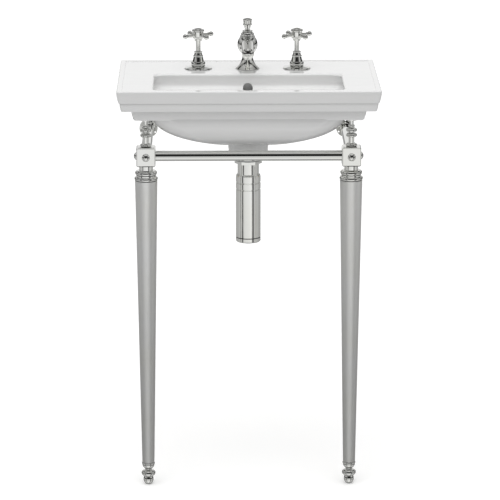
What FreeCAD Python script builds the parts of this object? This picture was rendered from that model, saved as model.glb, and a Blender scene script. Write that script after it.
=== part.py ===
import FreeCAD, Part
import math
import os

# A console washbasin: a stepped ceramic basin on two turned metal legs, with corner blocks,
# a front rail, side rails back to the wall, a three-hole tap set, a pop-up waste and a bottle trap.
# Millimetres. The origin is on the floor, midway between the sides and between front and wall.
# +X is to the viewer's right, +Y to the wall, +Z up.

# ---- Basin outside ----------------------------------------------------------------------------
BASIN_WIDTH = 550.0
BASIN_DEPTH = 372.0
RIM_HEIGHT = 873.0
RIM_BAND_HEIGHT = 26.0          # the top tier, whose face leans in as it goes down
RIM_BAND_LEAN = 4.6
MIDDLE_BAND_SETBACK = 6.4       # the middle tier starts this far inside the rim
MIDDLE_BAND_HEIGHT = 18.0
MIDDLE_BAND_LEAN = 3.4
APRON_SETBACK = 30.0            # the lowest tier starts this far inside the rim
APRON_HEIGHT = 23.7
APRON_LEAN = 6.2
CORNER_RADIUS = 5.0             # plan radius of the two front corners
TIER_SECTIONS = 5               # sections in the curved face of one tier
RIM_EDGE_ROUND = 2.2
DECK_LIP_WIDTH = 11.0           # the raised lip around the top
DECK_LIP_HEIGHT = 1.2
DECK_LIP_ROUND = 1.0
DECK_THICKNESS = 14.0
BACK_WALL = 14.0
APRON_WALL = 14.0

# ---- Well and bowl ----------------------------------------------------------------------------
WELL_MARGIN = 75.0              # from the rim's ends to the well's side edges
WELL_FRONT = 26.0               # from the rim's front to the well's front edge
TAP_LEDGE = 64.0                # from the well's back edge to the taps' axes
WELL_CORNER = 18.0
WELL_LEAN_SIDE = 11.0           # how far the well's sides lean in down to the bowl
WELL_LEAN_FRONT = 22.0
WELL_LEAN_BACK = 8.0
WELL_EDGE_ROUND = 4.0
BOWL_SHOULDER = 67.7            # depth at which the walls turn into the bowl
BOWL_DEPTH = 128.0              # inside, at the outlet
BOWL_WALL = 13.0
BOWL_SECTIONS = 7
BOWL_CORNER_SHARE = 0.96        # how round the lowest section is, 1 being a full round
WALL_SHARES = (0.0, 0.45, 1.0)  # heights of the sections in the well's walls
EDGE_SECTIONS = 5               # sections in the well's rounded edge
BOWL_LAST_SHARE = 0.985         # the share of the bowl's depth where its sections stop
OUTLET_SETBACK = 150.0          # from the rim's front to the waste's axis

# ---- Outlet and overflow ----------------------------------------------------------------------
OUTLET_BOSS_TOP_RADIUS = 44.5
OUTLET_BOSS_RADIUS = 40.5
OUTLET_BOSS_BOTTOM = 171.5      # below the rim
OUTLET_BORE_RADIUS = 23.0
OUTLET_RECESS_RADIUS = 35.0
OUTLET_RECESS_DEPTH = 3.0
OVERFLOW_RADIUS = 10.5
OVERFLOW_DEPTH = 32.6           # below the rim
CHANNEL_WIDTH = 32.0
CHANNEL_THROAT = 13.0
CHANNEL_WALL = 9.0
CHANNEL_ENTRY_DEPTH = 150.0     # below the rim, where the passage joins the outlet bore
CHANNEL_ENTRY_HEIGHT = 10.0

# ---- Holes and pads in the casting ------------------------------------------------------------
TAP_SETBACK = 275.0             # from the rim's front to the taps' axes
TAP_SPACING = 212.0             # from the hot tap to the cold tap
TAP_HOLE_RADIUS = 17.0
WALL_BOLT_SPACING = 280.0
WALL_BOLT_HOLE_RADIUS = 7.0
WALL_BOLT_DEPTH = 40.0          # below the rim
LEG_PAD_WIDTH = 52.0            # solid ceramic over each leg, along X
LEG_PAD_DEPTH = 50.0            # and along Y

# ---- Legs' frame ------------------------------------------------------------------------------
LEG_INSET = 59.0                # from the rim's ends to the legs' axes
LEG_SETBACK = 76.0              # from the rim's front to the legs' axes
BLOCK_SIZE = 40.0
BLOCK_CHAMFER = 2.0
BLOCK_DEPTH = 151.2             # from the rim down to the blocks' centre
SOCKET_DEPTH = 9.0
SOCKET_RADIUS = 7.0
SPIGOT_CLEARANCE = 0.1
CAP_SOCKET_RADIUS = 4.0
RAIL_RADIUS = 11.0
RAIL_WALL = 1.6
CAP_RADIUS = 8.2
CAP_HEIGHT = 5.6
CAP_FLANGE = 1.2
WALL_FLANGE_RADIUS = 20.0
WALL_FLANGE_THICKNESS = 5.0
WALL_FLANGE_HUB_RADIUS = 14.0
WALL_FLANGE_HUB_LENGTH = 14.0
WALL_SCREW_COUNT = 3
WALL_SCREW_HOLE_RADIUS = 2.1
WALL_SCREW_CIRCLE = 34.0        # pitch circle diameter

# ---- Posts between the blocks and the basin ---------------------------------------------------
POST_PAD_THICKNESS = 3.0
POST_PAD_RADIUS = 13.0
POST_TOP_RADIUS = 12.0
POST_TOP_THICKNESS = 4.0
POST_BULB_RADIUS = 6.6
POST_BULB_DEPTH = 87.6          # bulb's centre below the rim
POST_BULB_HEIGHT = 8.0
POST_NECK_RADIUS = 4.6
POST_UPPER_BEAD_DEPTH = 96.0
POST_LOWER_BEAD_DEPTH = 106.8
POST_BEAD_RADIUS = 11.6
POST_BEAD_HEIGHT = 7.6
POST_SHAFT_RADIUS = 6.0
POST_BASE_RADIUS = 12.0
POST_BASE_HEIGHT = 6.6

# ---- Legs -------------------------------------------------------------------------------------
LEG_NECK_RADIUS = 14.5
LEG_NECK_HEIGHT = 10.5
LEG_UPPER_RING_RADIUS = 23.0
LEG_UPPER_RING_HEIGHT = 10.4
LEG_WAIST_RADIUS = 20.6
LEG_WAIST_HEIGHT = 2.4
LEG_LOWER_RING_RADIUS = 24.6
LEG_LOWER_RING_HEIGHT = 9.0
LEG_TOP_RADIUS = 23.6           # the tapered tube, under its collar
LEG_BOTTOM_RADIUS = 13.0
LEG_TUBE_WALL = 2.0
LEG_TUBE_BOTTOM = 50.0          # above the floor
LEG_PLUG_LENGTH = 24.0          # the collar's and the ferrule's plugs in the tube
FERRULE_RING_RADIUS = 14.0
FERRULE_RING_HEIGHT = 6.5
FERRULE_NECK_RADIUS = 7.6
FERRULE_NECK_HEIGHT = 35.0      # above the floor

# ---- Levelling feet ---------------------------------------------------------------------------
FOOT_GAP = 0.3
FOOT_THREAD_RADIUS = 5.0
FOOT_THREAD_LENGTH = 36.0
FOOT_NECK_RADIUS = 7.0
FOOT_LOBE_RADIUS = 15.0
FOOT_LOBE_CENTRE = 24.7
FOOT_LOBE_HEIGHT = 12.6
FOOT_WAIST_RADIUS = 9.2
FOOT_BALL_RADIUS = 10.9
FOOT_BALL_CENTRE = 9.4
FOOT_BASE_RADIUS = 6.0
RUNNING_FIT = 0.05              # radial clearance of a shaft that turns or slides in its bore
RING_ROUNDNESS = 0.85           # how far a turned ring's arc falls back at its two edges

# ---- Waste and pop-up -------------------------------------------------------------------------
WASTE_FLANGE_RADIUS = 32.0
WASTE_FLANGE_THICKNESS = 3.0
WASTE_SEAL_THICKNESS = 1.5
WASTE_BODY_RADIUS = 20.8
WASTE_BORE_RADIUS = 17.5
WASTE_SLOT_WIDTH = 16.0
UNDER_SEAL_RADIUS = 31.0
UNDER_SEAL_THICKNESS = 4.0
WASTE_NUT_RADIUS = 29.0
WASTE_NUT_THICKNESS = 7.0
TEE_RADIUS = 22.8
TEE_SOCKET = 6.0                # how far the waste's tube enters the tee
TEE_BOTTOM = 204.9              # below the rim
TEE_PORT_RADIUS = 11.0
TEE_PORT_REACH = 33.0           # from the waste's axis to the port's face
PIVOT_DEPTH = 193.5             # below the rim
PIVOT_OFFSET = 27.0             # from the waste's axis to the ball's centre
BALL_RADIUS = 7.0
PIVOT_NUT_RADIUS = 13.0
PIVOT_NUT_THICKNESS = 9.0
PIVOT_NUT_WALL = 3.0
PIVOT_ROD_RADIUS = 2.5
PIVOT_ROD_INNER_SPARE = 4.5     # rod past the plug's eye
PIVOT_ROD_OUTER_SPARE = 12.0    # rod past the strap
EYE_CLEARANCE = 0.45
PORT_ROOM = 2.4                 # the rod's radial room to swing in its port and nut
PLUG_RADIUS = 21.0
PLUG_HEAD_THICKNESS = 5.0
PLUG_CROWN = 2.5
PLUG_EDGE_ROUND = 1.2
PLUG_FIN_RADIUS = 16.5
PLUG_FIN_THICKNESS = 2.4
PLUG_FIN_LENGTH = 26.0
PLUG_STEM_RADIUS = 3.6
PLUG_EYE_RADIUS = 6.5
PLUG_EYE_THICKNESS = 3.0
PLUG_SEAT_GAP = 0.3
PLUG_SEAL_RADIUS = 19.6
PLUG_SEAL_THICKNESS = 1.6
LIFT_TRAVEL = 24.0
LIFT_ROD_RADIUS = 2.5
LIFT_ROD_BOTTOM = 176.0         # below the rim
STRAP_WIDTH = 11.0
STRAP_THICKNESS = 1.6
STRAP_HOLES = 3
STRAP_HOLE_PITCH = 9.0
CLAMP_BOTTOM = 178.0            # below the rim
CLAMP_HEIGHT = 14.0
CLAMP_DEPTH = 10.0
STRAP_SCREW_RADIUS = 2.0
STRAP_SCREW_HEAD_RADIUS = 4.4
STRAP_SCREW_HEAD_LENGTH = 4.0

# ---- Bottle trap ------------------------------------------------------------------------------
TRAP_RADIUS = 26.4
TRAP_WALL = 2.2
TRAP_SHOULDER_HEIGHT = 3.7
TRAP_NUT_HEIGHT = 14.8          # each of the two nuts above the trap's body
TRAP_GROOVE_DEPTH = 1.2
TRAP_GROOVE_HEIGHT = 1.6
TRAP_BODY_HEIGHT = 104.0
TRAP_NUT_FLOOR = 4.0            # thickness of the body's top around the dip tube
TRAP_CAP_HEIGHT = 9.0
TRAP_CAP_CHAMFER = 2.0
TRAP_CAP_PLUG = 10.0
TRAP_CAP_FLOOR = 5.0
TRAP_SEAL_THICKNESS = 2.0
DIP_TUBE_RADIUS = 16.0
DIP_TUBE_WALL = 1.2
DIP_TUBE_GAP = 18.0             # from the tube's mouth to the cap's plug
OUTLET_PIPE_RADIUS = 16.0
OUTLET_PIPE_WALL = 1.5
OUTLET_DROP = 27.0              # from the body's top to the outlet's axis
OUTLET_PORT_RADIUS = 19.5
OUTLET_PORT_REACH = 40.0        # from the trap's axis to the port's face
OUTLET_NUT_RADIUS = 22.5
OUTLET_NUT_LENGTH = 19.0
OUTLET_NUT_TAPER = 4.8
ESCUTCHEON_RADIUS = 23.0
ESCUTCHEON_DEPTH = 12.0

# ---- Tap handles and valves -------------------------------------------------------------------
FLANGE_RADIUS = 30.0
FLANGE_EDGE = 2.4
FLANGE_HEIGHT = 5.0
FLANGE_COLLAR_RADIUS = 16.4
BELL_HEIGHT = 33.0
BELL_FOOT_HEIGHT = 11.0
BELL_BOTTOM_RADIUS = 15.2
BELL_WAIST_RADIUS = 12.2
BELL_TOP_RADIUS = 7.6
BELL_BEAD = 1.2
BELL_BEAD_HEIGHT = 3.4
BELL_BEAD_SHARE = 0.46          # where the middle bead starts between the foot and the top
BELL_BORE_RADIUS = 10.6
BELL_WALL = 1.2
BELL_LIP = 5.0                  # solid top of the bell around the spindle
SPINDLE_RADIUS = 5.0
SPINDLE_CLEARANCE = 0.5
SPINDLE_TAIL_RADIUS = 4.0
SPINDLE_TAIL_LENGTH = 12.0
HUB_BOTTOM = 61.0               # above the deck
HUB_HEIGHT = 25.0
HUB_RADIUS = 11.4
HUB_CROWN_RADIUS = 13.0
HUB_CROWN_HEIGHT = 6.0
HUB_COLLAR_RADIUS = 7.6
HUB_COLLAR_HEIGHT = 3.6
HUB_FLARE_HEIGHT = 5.4          # the hollow curve from the collar out to the hub
ARM_LEVEL = 72.4                # above the deck
ARM_REACH = 33.0                # from the axis to the ball's centre
ARM_ROOT_RADIUS = 4.4
ARM_TIP_RADIUS = 2.7
ARM_RING_RADIUS = 4.0
ARM_RING_LENGTH = 2.4
ARM_BALL_RADIUS = 5.2
ARM_COUNT = 4
ARM_ANGLE = 33.0                # plan angle of the first arm from +X
BUTTON_RADIUS = 8.6
BUTTON_CROWN = 2.4
BUTTON_SINK = 2.0
VALVE_SHANK_RADIUS = 15.4
VALVE_SHANK_TOP = 4.0           # above the deck
VALVE_BOTTOM = 78.0             # below the rim
VALVE_BORE_RADIUS = 9.5
VALVE_BORE_DEPTH = 40.0         # from the shank's top
CARTRIDGE_HEIGHT = 48.0
CARTRIDGE_HEX_RADIUS = 10.4
CARTRIDGE_HEX_HEIGHT = 5.0
TAIL_RADIUS = 10.48             # half-inch pipe thread, outside
TAIL_BORE_RADIUS = 7.5
TAIL_BOTTOM = 118.0             # below the rim
DECK_WASHER_RADIUS = 25.0
DECK_WASHER_THICKNESS = 2.5
DECK_NUT_RADIUS = 23.0
DECK_NUT_THICKNESS = 8.0
LINK_DEPTH = 62.0               # link pipes' axis below the rim
LINK_RADIUS = 7.5
LINK_WALL = 1.0
LINK_SOCKET = 8.0

# ---- Spout ------------------------------------------------------------------------------------
SPOUT_BASE_RADIUS = 26.0
SPOUT_BASE_LIP = 2.6
SPOUT_BELL_RADIUS = 15.6        # a point half way up the bell's hollow curve
SPOUT_BELL_HEIGHT = 12.0
SPOUT_WAIST_RADIUS = 12.0
SPOUT_WAIST_HEIGHT = 33.0
URN_RADIUS = 21.5
URN_CENTRE = 55.0
URN_SHOULDER_RADIUS = 15.5
URN_SHOULDER_HEIGHT = 69.0
URN_RING_RADIUS = 16.4
URN_RING_HEIGHT = 3.0
URN_CROWN_RADIUS = 13.6
URN_CROWN_HEIGHT = 8.0
COLLAR_RADIUS = 10.9
COLLAR_HEIGHT = 3.6
NOZZLE_LEVEL = 56.0             # where the nozzle's axis leaves the urn, above the deck
NOZZLE_REACH = 100.0            # from the spout's axis to the nozzle's face
NOZZLE_DROP = 9.0               # from the urn to the nozzle's face
NOZZLE_ROOT_RADIUS = 15.0
NOZZLE_TIP_RADIUS = 11.7
NOZZLE_RING_RADIUS = 12.9
NOZZLE_RING_LENGTH = 5.0
NOZZLE_NOSE = 6.0
NOZZLE_BORE_RADIUS = 6.5
AERATOR_RADIUS = 8.4
AERATOR_SETBACK = 17.0          # from the nozzle's face to the aerator's axis
AERATOR_SINK = 2.0              # from the nozzle's axis down to the aerator's top
AERATOR_SHOW = 2.6              # how far the aerator stands out of the nozzle
AERATOR_BORE_RADIUS = 5.5
SHANK_RADIUS = 14.0
SHANK_BORE_RADIUS = 9.0
SHANK_BOTTOM = 50.0             # below the rim
SLEEVE_RADIUS = 4.5
SLEEVE_BORE_RADIUS = 3.0
SPOUT_TEE_RADIUS = 17.5
SPOUT_TEE_BOTTOM = 76.0         # below the rim
SPOUT_TEE_FLOOR = 4.0
KNOB_RADIUS = 10.0
KNOB_NECK_RADIUS = 5.2
KNOB_TAPER_HEIGHT = 11.0
KNOB_FLARE = 4.0
KNOB_EDGE = 1.5
KNOB_HEIGHT = 24.0
KNOB_CROWN = 2.0
KNOB_GAP = 0.3

# ---- Places worked out from the sizes above ---------------------------------------------------
FRONT = -BASIN_DEPTH / 2
WALL = BASIN_DEPTH / 2
UNDERSIDE = RIM_HEIGHT - RIM_BAND_HEIGHT - MIDDLE_BAND_HEIGHT - APRON_HEIGHT
DECK_TOP = RIM_HEIGHT - DECK_LIP_HEIGHT
DECK_UNDERSIDE = RIM_HEIGHT - DECK_THICKNESS
OUTLET_Y = FRONT + OUTLET_SETBACK
TAP_Y = FRONT + TAP_SETBACK
LEG_Y = FRONT + LEG_SETBACK
LEG_X = BASIN_WIDTH / 2 - LEG_INSET
WELL_HALF = BASIN_WIDTH / 2 - WELL_MARGIN
WELL_BACK_Y = TAP_Y - TAP_LEDGE
TAP_X = TAP_SPACING / 2
BLOCK_Z = RIM_HEIGHT - BLOCK_DEPTH
BLOCK_TOP = BLOCK_Z + BLOCK_SIZE / 2
BLOCK_BOTTOM = BLOCK_Z - BLOCK_SIZE / 2
BOWL_FLOOR = RIM_HEIGHT - BOWL_DEPTH
SEAT_FLOOR = BOWL_FLOOR - OUTLET_RECESS_DEPTH
WASTE_TOP = SEAT_FLOOR + WASTE_SEAL_THICKNESS + WASTE_FLANGE_THICKNESS
BOSS_BOTTOM = RIM_HEIGHT - OUTLET_BOSS_BOTTOM
NUT_BOTTOM = BOSS_BOTTOM - UNDER_SEAL_THICKNESS - WASTE_NUT_THICKNESS
TEE_FLOOR = RIM_HEIGHT - TEE_BOTTOM
PIVOT_Y = OUTLET_Y + PIVOT_OFFSET
PIVOT_Z = RIM_HEIGHT - PIVOT_DEPTH
PLUG_LIFT = LIFT_TRAVEL * PIVOT_OFFSET / (TAP_Y - PIVOT_Y)
TILT = math.atan(LIFT_TRAVEL / 2 / (TAP_Y - PIVOT_Y))
KNOB_BOTTOM = (DECK_TOP + URN_SHOULDER_HEIGHT + URN_RING_HEIGHT + URN_CROWN_HEIGHT
               + COLLAR_HEIGHT + KNOB_GAP)
TRAP_BODY_TOP = TEE_FLOOR - TRAP_SHOULDER_HEIGHT - 2 * TRAP_NUT_HEIGHT
TRAP_BODY_BOTTOM = TRAP_BODY_TOP - TRAP_BODY_HEIGHT
OUTLET_Z = TRAP_BODY_TOP - OUTLET_DROP
LEG_TUBE_TOP = (BLOCK_BOTTOM - LEG_NECK_HEIGHT - LEG_UPPER_RING_HEIGHT - LEG_WAIST_HEIGHT
                - LEG_LOWER_RING_HEIGHT)

Y_AXIS = FreeCAD.Vector(0, 1, 0)
Z_AXIS = FreeCAD.Vector(0, 0, 1)
FULL_TURN = 360.0
SLACK = 1.0                     # how far a cutting tool runs past the face it cuts
EASE = 1 - math.sqrt(0.5)       # how far a quarter round's middle lies in from its corner
SIDES = (("left", -1), ("right", 1))
TAPS = (("hot", -1), ("cold", 1))


# ---- Shape helpers ----------------------------------------------------------------------------
def at(x, y, z):
    return FreeCAD.Vector(x, y, z)


def block(x_low, x_high, y_low, y_high, z_low, z_high):
    """A box between two corners."""
    return Part.makeBox(x_high - x_low, y_high - y_low, z_high - z_low, at(x_low, y_low, z_low))


def bar(radius, start, end):
    """A round bar between two points."""
    run = end - start
    return Part.makeCylinder(radius, run.Length, start, run)


def pipe(radius, bore, start, end):
    """A round tube between two points."""
    run = end - start
    past = run * (SLACK / run.Length)
    return bar(radius, start, end).cut(bar(bore, start - past, end + past))


def outline_edges(steps, place):
    """Edges through (u, v) steps; a step of four numbers is an arc through its first two."""
    edges = []
    here = steps[0]
    for step in steps[1:]:
        there = step[-2:]
        if len(step) == 4:
            edges.append(Part.Arc(place(*here), place(*step[:2]), place(*there)).toShape())
        else:
            edges.append(Part.LineSegment(place(*here), place(*there)).toShape())
        here = there
    return edges


def turned(steps, foot, direction=Z_AXIS):
    """A turned solid: (radius, height) steps, standing on foot along direction."""
    start = steps[0]
    end = steps[-1][-2:]
    closed = list(steps)
    if end[0] > 0:
        closed.append((0, end[1]))
    if start[0] > 0:
        closed.append((0, start[1]))
        closed.append(start)
    else:
        closed.append(start)
    edges = outline_edges(closed, lambda radius, height: at(radius, 0, height))
    face = Part.Face(Part.Wire(edges))
    solid = face.revolve(at(0, 0, 0), Z_AXIS, FULL_TURN)
    solid.Placement = FreeCAD.Placement(foot, FreeCAD.Rotation(Z_AXIS, direction))
    return solid


def dome_steps(radius, low, height):
    """A part of a sphere from a radius at one height up to the axis."""
    ball = (radius ** 2 + height ** 2) / (2 * height)
    centre = low + height - ball
    half = math.asin(min(radius / ball, 1)) / 2
    return [(ball * math.sin(half), centre + ball * math.cos(half), 0, low + height)]


def ring_steps(radius, low, high):
    """A rounded ring standing proud between two heights."""
    edge = radius - RING_ROUNDNESS * abs(high - low) / 2
    return [(edge, low), (radius, (low + high) / 2, edge, high)]


def hexagon(radius, foot, height):
    """A six-sided nut blank whose corners lie on the radius."""
    corners = [at(radius * math.cos(math.pi * k / 3), radius * math.sin(math.pi * k / 3), 0) + foot
               for k in range(7)]
    return Part.Face(Part.makePolygon(corners)).extrude(at(0, 0, height))


def fused(first, *others):
    """One solid out of several that meet."""
    return first.fuse(list(others)).removeSplitter()


def extruded_side(points, half_width):
    """A (y, z) polygon extruded to both sides of the middle plane."""
    corners = [at(-half_width, y, z) for y, z in points]
    face = Part.Face(Part.makePolygon(corners + corners[:1]))
    return face.extrude(at(2 * half_width, 0, 0))


def save(node, shape):
    """Write one node; a lone solid is unwrapped from its compound."""
    solids = shape.Solids
    kept = solids[0] if len(solids) == 1 else Part.makeCompound(solids)
    for solid in solids:
        if not solid.isValid() or solid.Volume <= 0:
            print("BAD SOLID in", node)
    kept.exportStep(os.path.join("parts", node + ".step"))
    print("%-22s %2d solid  %12.1f mm3" % (node, len(solids), sum(s.Volume for s in solids)))


# ---- Basin ------------------------------------------------------------------------------------
def plan_outline(inset, z):
    """The basin's plan at one height: rounded at the front, and a little past the wall."""
    side = BASIN_WIDTH / 2 - inset
    front = FRONT + inset
    back = WALL + SLACK
    radius = CORNER_RADIUS
    low = radius * EASE
    edges = outline_edges([
        (-side, back), (-side, front + radius),
        (-side + low, front + low, -side + radius, front),
        (side - radius, front),
        (side - low, front + low, side, front + radius),
        (side, back), (-side, back)], lambda x, y: at(x, y, z))
    return Part.Wire(edges)


def tier(top, height, setback, lean):
    """One tier of the skirt, whose face curves in towards its foot."""
    wires = []
    for k in range(TIER_SECTIONS):
        share = k / (TIER_SECTIONS - 1)
        wires.append(plan_outline(setback + lean * share ** 2, top - height * share))
    return Part.makeLoft(wires, True, False)


def rounded_section(half_x, front, back, corner, z):
    """A closed rounded rectangle across the bowl at one height."""
    low = corner * EASE
    edges = outline_edges([
        (-half_x, back - corner), (-half_x, front + corner),
        (-half_x + low, front + low, -half_x + corner, front),
        (half_x - corner, front),
        (half_x - low, front + low, half_x, front + corner),
        (half_x, back - corner),
        (half_x - low, back - low, half_x - corner, back),
        (-half_x + corner, back),
        (-half_x + low, back - low, -half_x, back - corner)], lambda x, y: at(x, y, z))
    return Part.Wire(edges)


def well_section(z, extra):
    """The well's outline at one height, let out by extra."""
    lean = (RIM_HEIGHT - z) / BOWL_SHOULDER
    return rounded_section(
        WELL_HALF - WELL_LEAN_SIDE * lean + extra,
        FRONT + WELL_FRONT + WELL_LEAN_FRONT * lean - extra,
        WELL_BACK_Y - WELL_LEAN_BACK * lean + extra,
        WELL_CORNER * (1 + lean) + extra, z)


def bowl_form(extra, top):
    """The bowl's inside (extra 0) or its outside (extra the wall), up to a height."""
    shoulder = RIM_HEIGHT - BOWL_SHOULDER
    wires = [well_section(top + (shoulder - top) * share, extra) for share in WALL_SHARES]
    front = FRONT + WELL_FRONT + WELL_LEAN_FRONT
    back = WELL_BACK_Y - WELL_LEAN_BACK
    middle = (front + back) / 2
    reach_x = WELL_HALF - WELL_LEAN_SIDE + extra
    reach_y = (back - front) / 2 + extra
    drop = BOWL_DEPTH - BOWL_SHOULDER + extra
    first_share = (2 * WELL_CORNER + extra) / reach_y
    for k in range(1, BOWL_SECTIONS + 1):
        angle = math.asin(BOWL_LAST_SHARE) * k / BOWL_SECTIONS
        sink = math.sin(angle)
        half_x = reach_x * math.cos(angle)
        half_y = reach_y * math.cos(angle)
        centre = middle + (OUTLET_Y - middle) * sink ** 2
        corner_share = first_share + (BOWL_CORNER_SHARE - first_share) * sink
        wires.append(rounded_section(half_x, centre - half_y, centre + half_y,
                                     half_y * corner_share, shoulder - drop * sink))
    return Part.makeLoft(wires, True, False)


def well_space():
    """All the room in the well, with its rounded edge at the deck."""
    top = DECK_TOP
    low = top - WELL_EDGE_ROUND
    wires = []
    for k in range(EDGE_SECTIONS):
        angle = math.pi / 2 * k / (EDGE_SECTIONS - 1)
        wires.append(well_section(low + WELL_EDGE_ROUND * math.sin(angle),
                                  WELL_EDGE_ROUND * (1 - math.cos(angle))))
    return bowl_form(0, low).fuse(Part.makeLoft(wires, True, False))


def overflow_passage():
    """The passage's casing and its inside, both as solids behind and under the bowl."""
    throat_y = WELL_BACK_Y + BOWL_WALL
    back_y = throat_y + CHANNEL_THROAT
    top = RIM_HEIGHT - OVERFLOW_DEPTH + OVERFLOW_RADIUS + CHANNEL_WALL
    entry = RIM_HEIGHT - CHANNEL_ENTRY_DEPTH
    bend = RIM_HEIGHT - BOWL_SHOULDER - CHANNEL_THROAT
    heel_y = OUTLET_Y + OUTLET_BOSS_RADIUS
    low = entry - CHANNEL_ENTRY_HEIGHT / 2
    high = entry + CHANNEL_ENTRY_HEIGHT / 2
    inside = [(throat_y, top - CHANNEL_WALL), (back_y, top - CHANNEL_WALL), (back_y, bend),
              (heel_y, low), (OUTLET_Y, low), (OUTLET_Y, high), (heel_y - CHANNEL_WALL, high),
              (throat_y, bend)]
    casing = [(WELL_BACK_Y, top), (back_y + CHANNEL_WALL, top),
              (back_y + CHANNEL_WALL, bend - CHANNEL_WALL / 2),
              (heel_y + CHANNEL_WALL / 2, low - CHANNEL_WALL),
              (OUTLET_Y, low - CHANNEL_WALL), (OUTLET_Y, bend), (WELL_BACK_Y, bend)]
    return (extruded_side(casing, CHANNEL_WIDTH / 2 + CHANNEL_WALL),
            extruded_side(inside, CHANNEL_WIDTH / 2))


def make_basin():
    """The ceramic casting, hollow under its deck."""
    rim = tier(RIM_HEIGHT, RIM_BAND_HEIGHT, 0, RIM_BAND_LEAN)
    middle_top = RIM_HEIGHT - RIM_BAND_HEIGHT
    middle = tier(middle_top, MIDDLE_BAND_HEIGHT, MIDDLE_BAND_SETBACK, MIDDLE_BAND_LEAN)
    apron_top = middle_top - MIDDLE_BAND_HEIGHT
    apron = tier(apron_top, APRON_HEIGHT, APRON_SETBACK, APRON_LEAN)
    beyond_wall = block(-BASIN_WIDTH / 2, BASIN_WIDTH / 2, WALL, WALL + SLACK * 2,
                        UNDERSIDE - SLACK, RIM_HEIGHT + SLACK)
    casting = fused(rim, middle, apron).cut(beyond_wall)

    hollow_side = BASIN_WIDTH / 2 - APRON_SETBACK - APRON_LEAN - APRON_WALL
    hollow_front = FRONT + APRON_SETBACK + APRON_LEAN + APRON_WALL
    hollow = block(-hollow_side, hollow_side, hollow_front, WALL - BACK_WALL,
                   UNDERSIDE - SLACK, DECK_UNDERSIDE)
    casting = casting.cut(hollow)

    casing, passage = overflow_passage()
    boss = turned([(OUTLET_BOSS_TOP_RADIUS, BOWL_FLOOR + BOWL_WALL),
                   (OUTLET_BOSS_RADIUS, BOSS_BOTTOM)], at(0, OUTLET_Y, 0))
    pads = [block(side * LEG_X - LEG_PAD_WIDTH / 2, side * LEG_X + LEG_PAD_WIDTH / 2,
                  LEG_Y - LEG_PAD_DEPTH / 2, LEG_Y + LEG_PAD_DEPTH / 2, UNDERSIDE, DECK_UNDERSIDE)
            for name, side in SIDES]
    casting = fused(casting, bowl_form(BOWL_WALL, DECK_UNDERSIDE), boss, casing, *pads)

    deck_inset = DECK_LIP_WIDTH
    deck = block(-BASIN_WIDTH / 2 + deck_inset, BASIN_WIDTH / 2 - deck_inset,
                 FRONT + deck_inset, WALL - deck_inset, DECK_TOP, RIM_HEIGHT + SLACK)
    casting = casting.cut(deck.makeFillet(DECK_LIP_ROUND, lowest_edges(deck)))
    casting = casting.cut(well_space()).cut(passage)

    seat = bar(OUTLET_RECESS_RADIUS, at(0, OUTLET_Y, SEAT_FLOOR), at(0, OUTLET_Y, RIM_HEIGHT))
    bore = bar(OUTLET_BORE_RADIUS, at(0, OUTLET_Y, BOSS_BOTTOM - SLACK),
               at(0, OUTLET_Y, RIM_HEIGHT))
    overflow_z = RIM_HEIGHT - OVERFLOW_DEPTH
    overflow = bar(OVERFLOW_RADIUS, at(0, OUTLET_Y, overflow_z),
                   at(0, WELL_BACK_Y + BOWL_WALL + SLACK, overflow_z))
    holes = [seat, bore, overflow]
    for x in (-TAP_X, 0, TAP_X):
        holes.append(bar(TAP_HOLE_RADIUS, at(x, TAP_Y, DECK_UNDERSIDE - SLACK),
                         at(x, TAP_Y, RIM_HEIGHT + SLACK)))
    bolt_z = RIM_HEIGHT - WALL_BOLT_DEPTH
    for x in (-WALL_BOLT_SPACING / 2, WALL_BOLT_SPACING / 2):
        holes.append(bar(WALL_BOLT_HOLE_RADIUS, at(x, WALL - BACK_WALL - SLACK, bolt_z),
                         at(x, WALL + SLACK, bolt_z)))
    for hole in holes:
        casting = casting.cut(hole)
    casting = casting.removeSplitter()
    return rounded(casting, RIM_EDGE_ROUND, is_rim_edge)


def lowest_edges(solid):
    """The edges around a block's bottom face."""
    low = solid.BoundBox.ZMin
    return [edge for edge in solid.Edges if edge.BoundBox.ZMax < low + SLACK / 2]


def is_rim_edge(edge):
    """True for the outer edges of the rim's top at the front and the sides."""
    box = edge.BoundBox
    outside_x = max(-box.XMin, box.XMax) > BASIN_WIDTH / 2 - SLACK / 2
    outside_y = box.YMin < FRONT + SLACK / 2
    at_wall = box.YMin > WALL - SLACK
    return box.ZMin > RIM_HEIGHT - SLACK / 4 and (outside_x or outside_y) and not at_wall


def rounded(solid, radius, wanted):
    """Round the edges that a test picks out."""
    return solid.makeFillet(radius, [edge for edge in solid.Edges if wanted(edge)])


# ---- Waste and pop-up -------------------------------------------------------------------------
def make_waste_body():
    """The slotted waste: a dished flange on a tube that runs down into the tee."""
    bottom = NUT_BOTTOM - TEE_SOCKET
    under = WASTE_TOP - WASTE_FLANGE_THICKNESS
    body = turned([(WASTE_BODY_RADIUS, bottom), (WASTE_BODY_RADIUS, under),
                   (WASTE_FLANGE_RADIUS, under),
                   (WASTE_FLANGE_RADIUS - WASTE_FLANGE_THICKNESS / 2, WASTE_TOP)],
                  at(0, OUTLET_Y, 0))
    body = body.cut(bar(WASTE_BORE_RADIUS, at(0, OUTLET_Y, bottom - SLACK),
                        at(0, OUTLET_Y, WASTE_TOP + SLACK)))
    entry = RIM_HEIGHT - CHANNEL_ENTRY_DEPTH
    slot = block(-WASTE_SLOT_WIDTH / 2, WASTE_SLOT_WIDTH / 2,
                 OUTLET_Y - OUTLET_BORE_RADIUS, OUTLET_Y + OUTLET_BORE_RADIUS,
                 entry - CHANNEL_ENTRY_HEIGHT / 2, entry + CHANNEL_ENTRY_HEIGHT / 2)
    return body.cut(slot)


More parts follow.
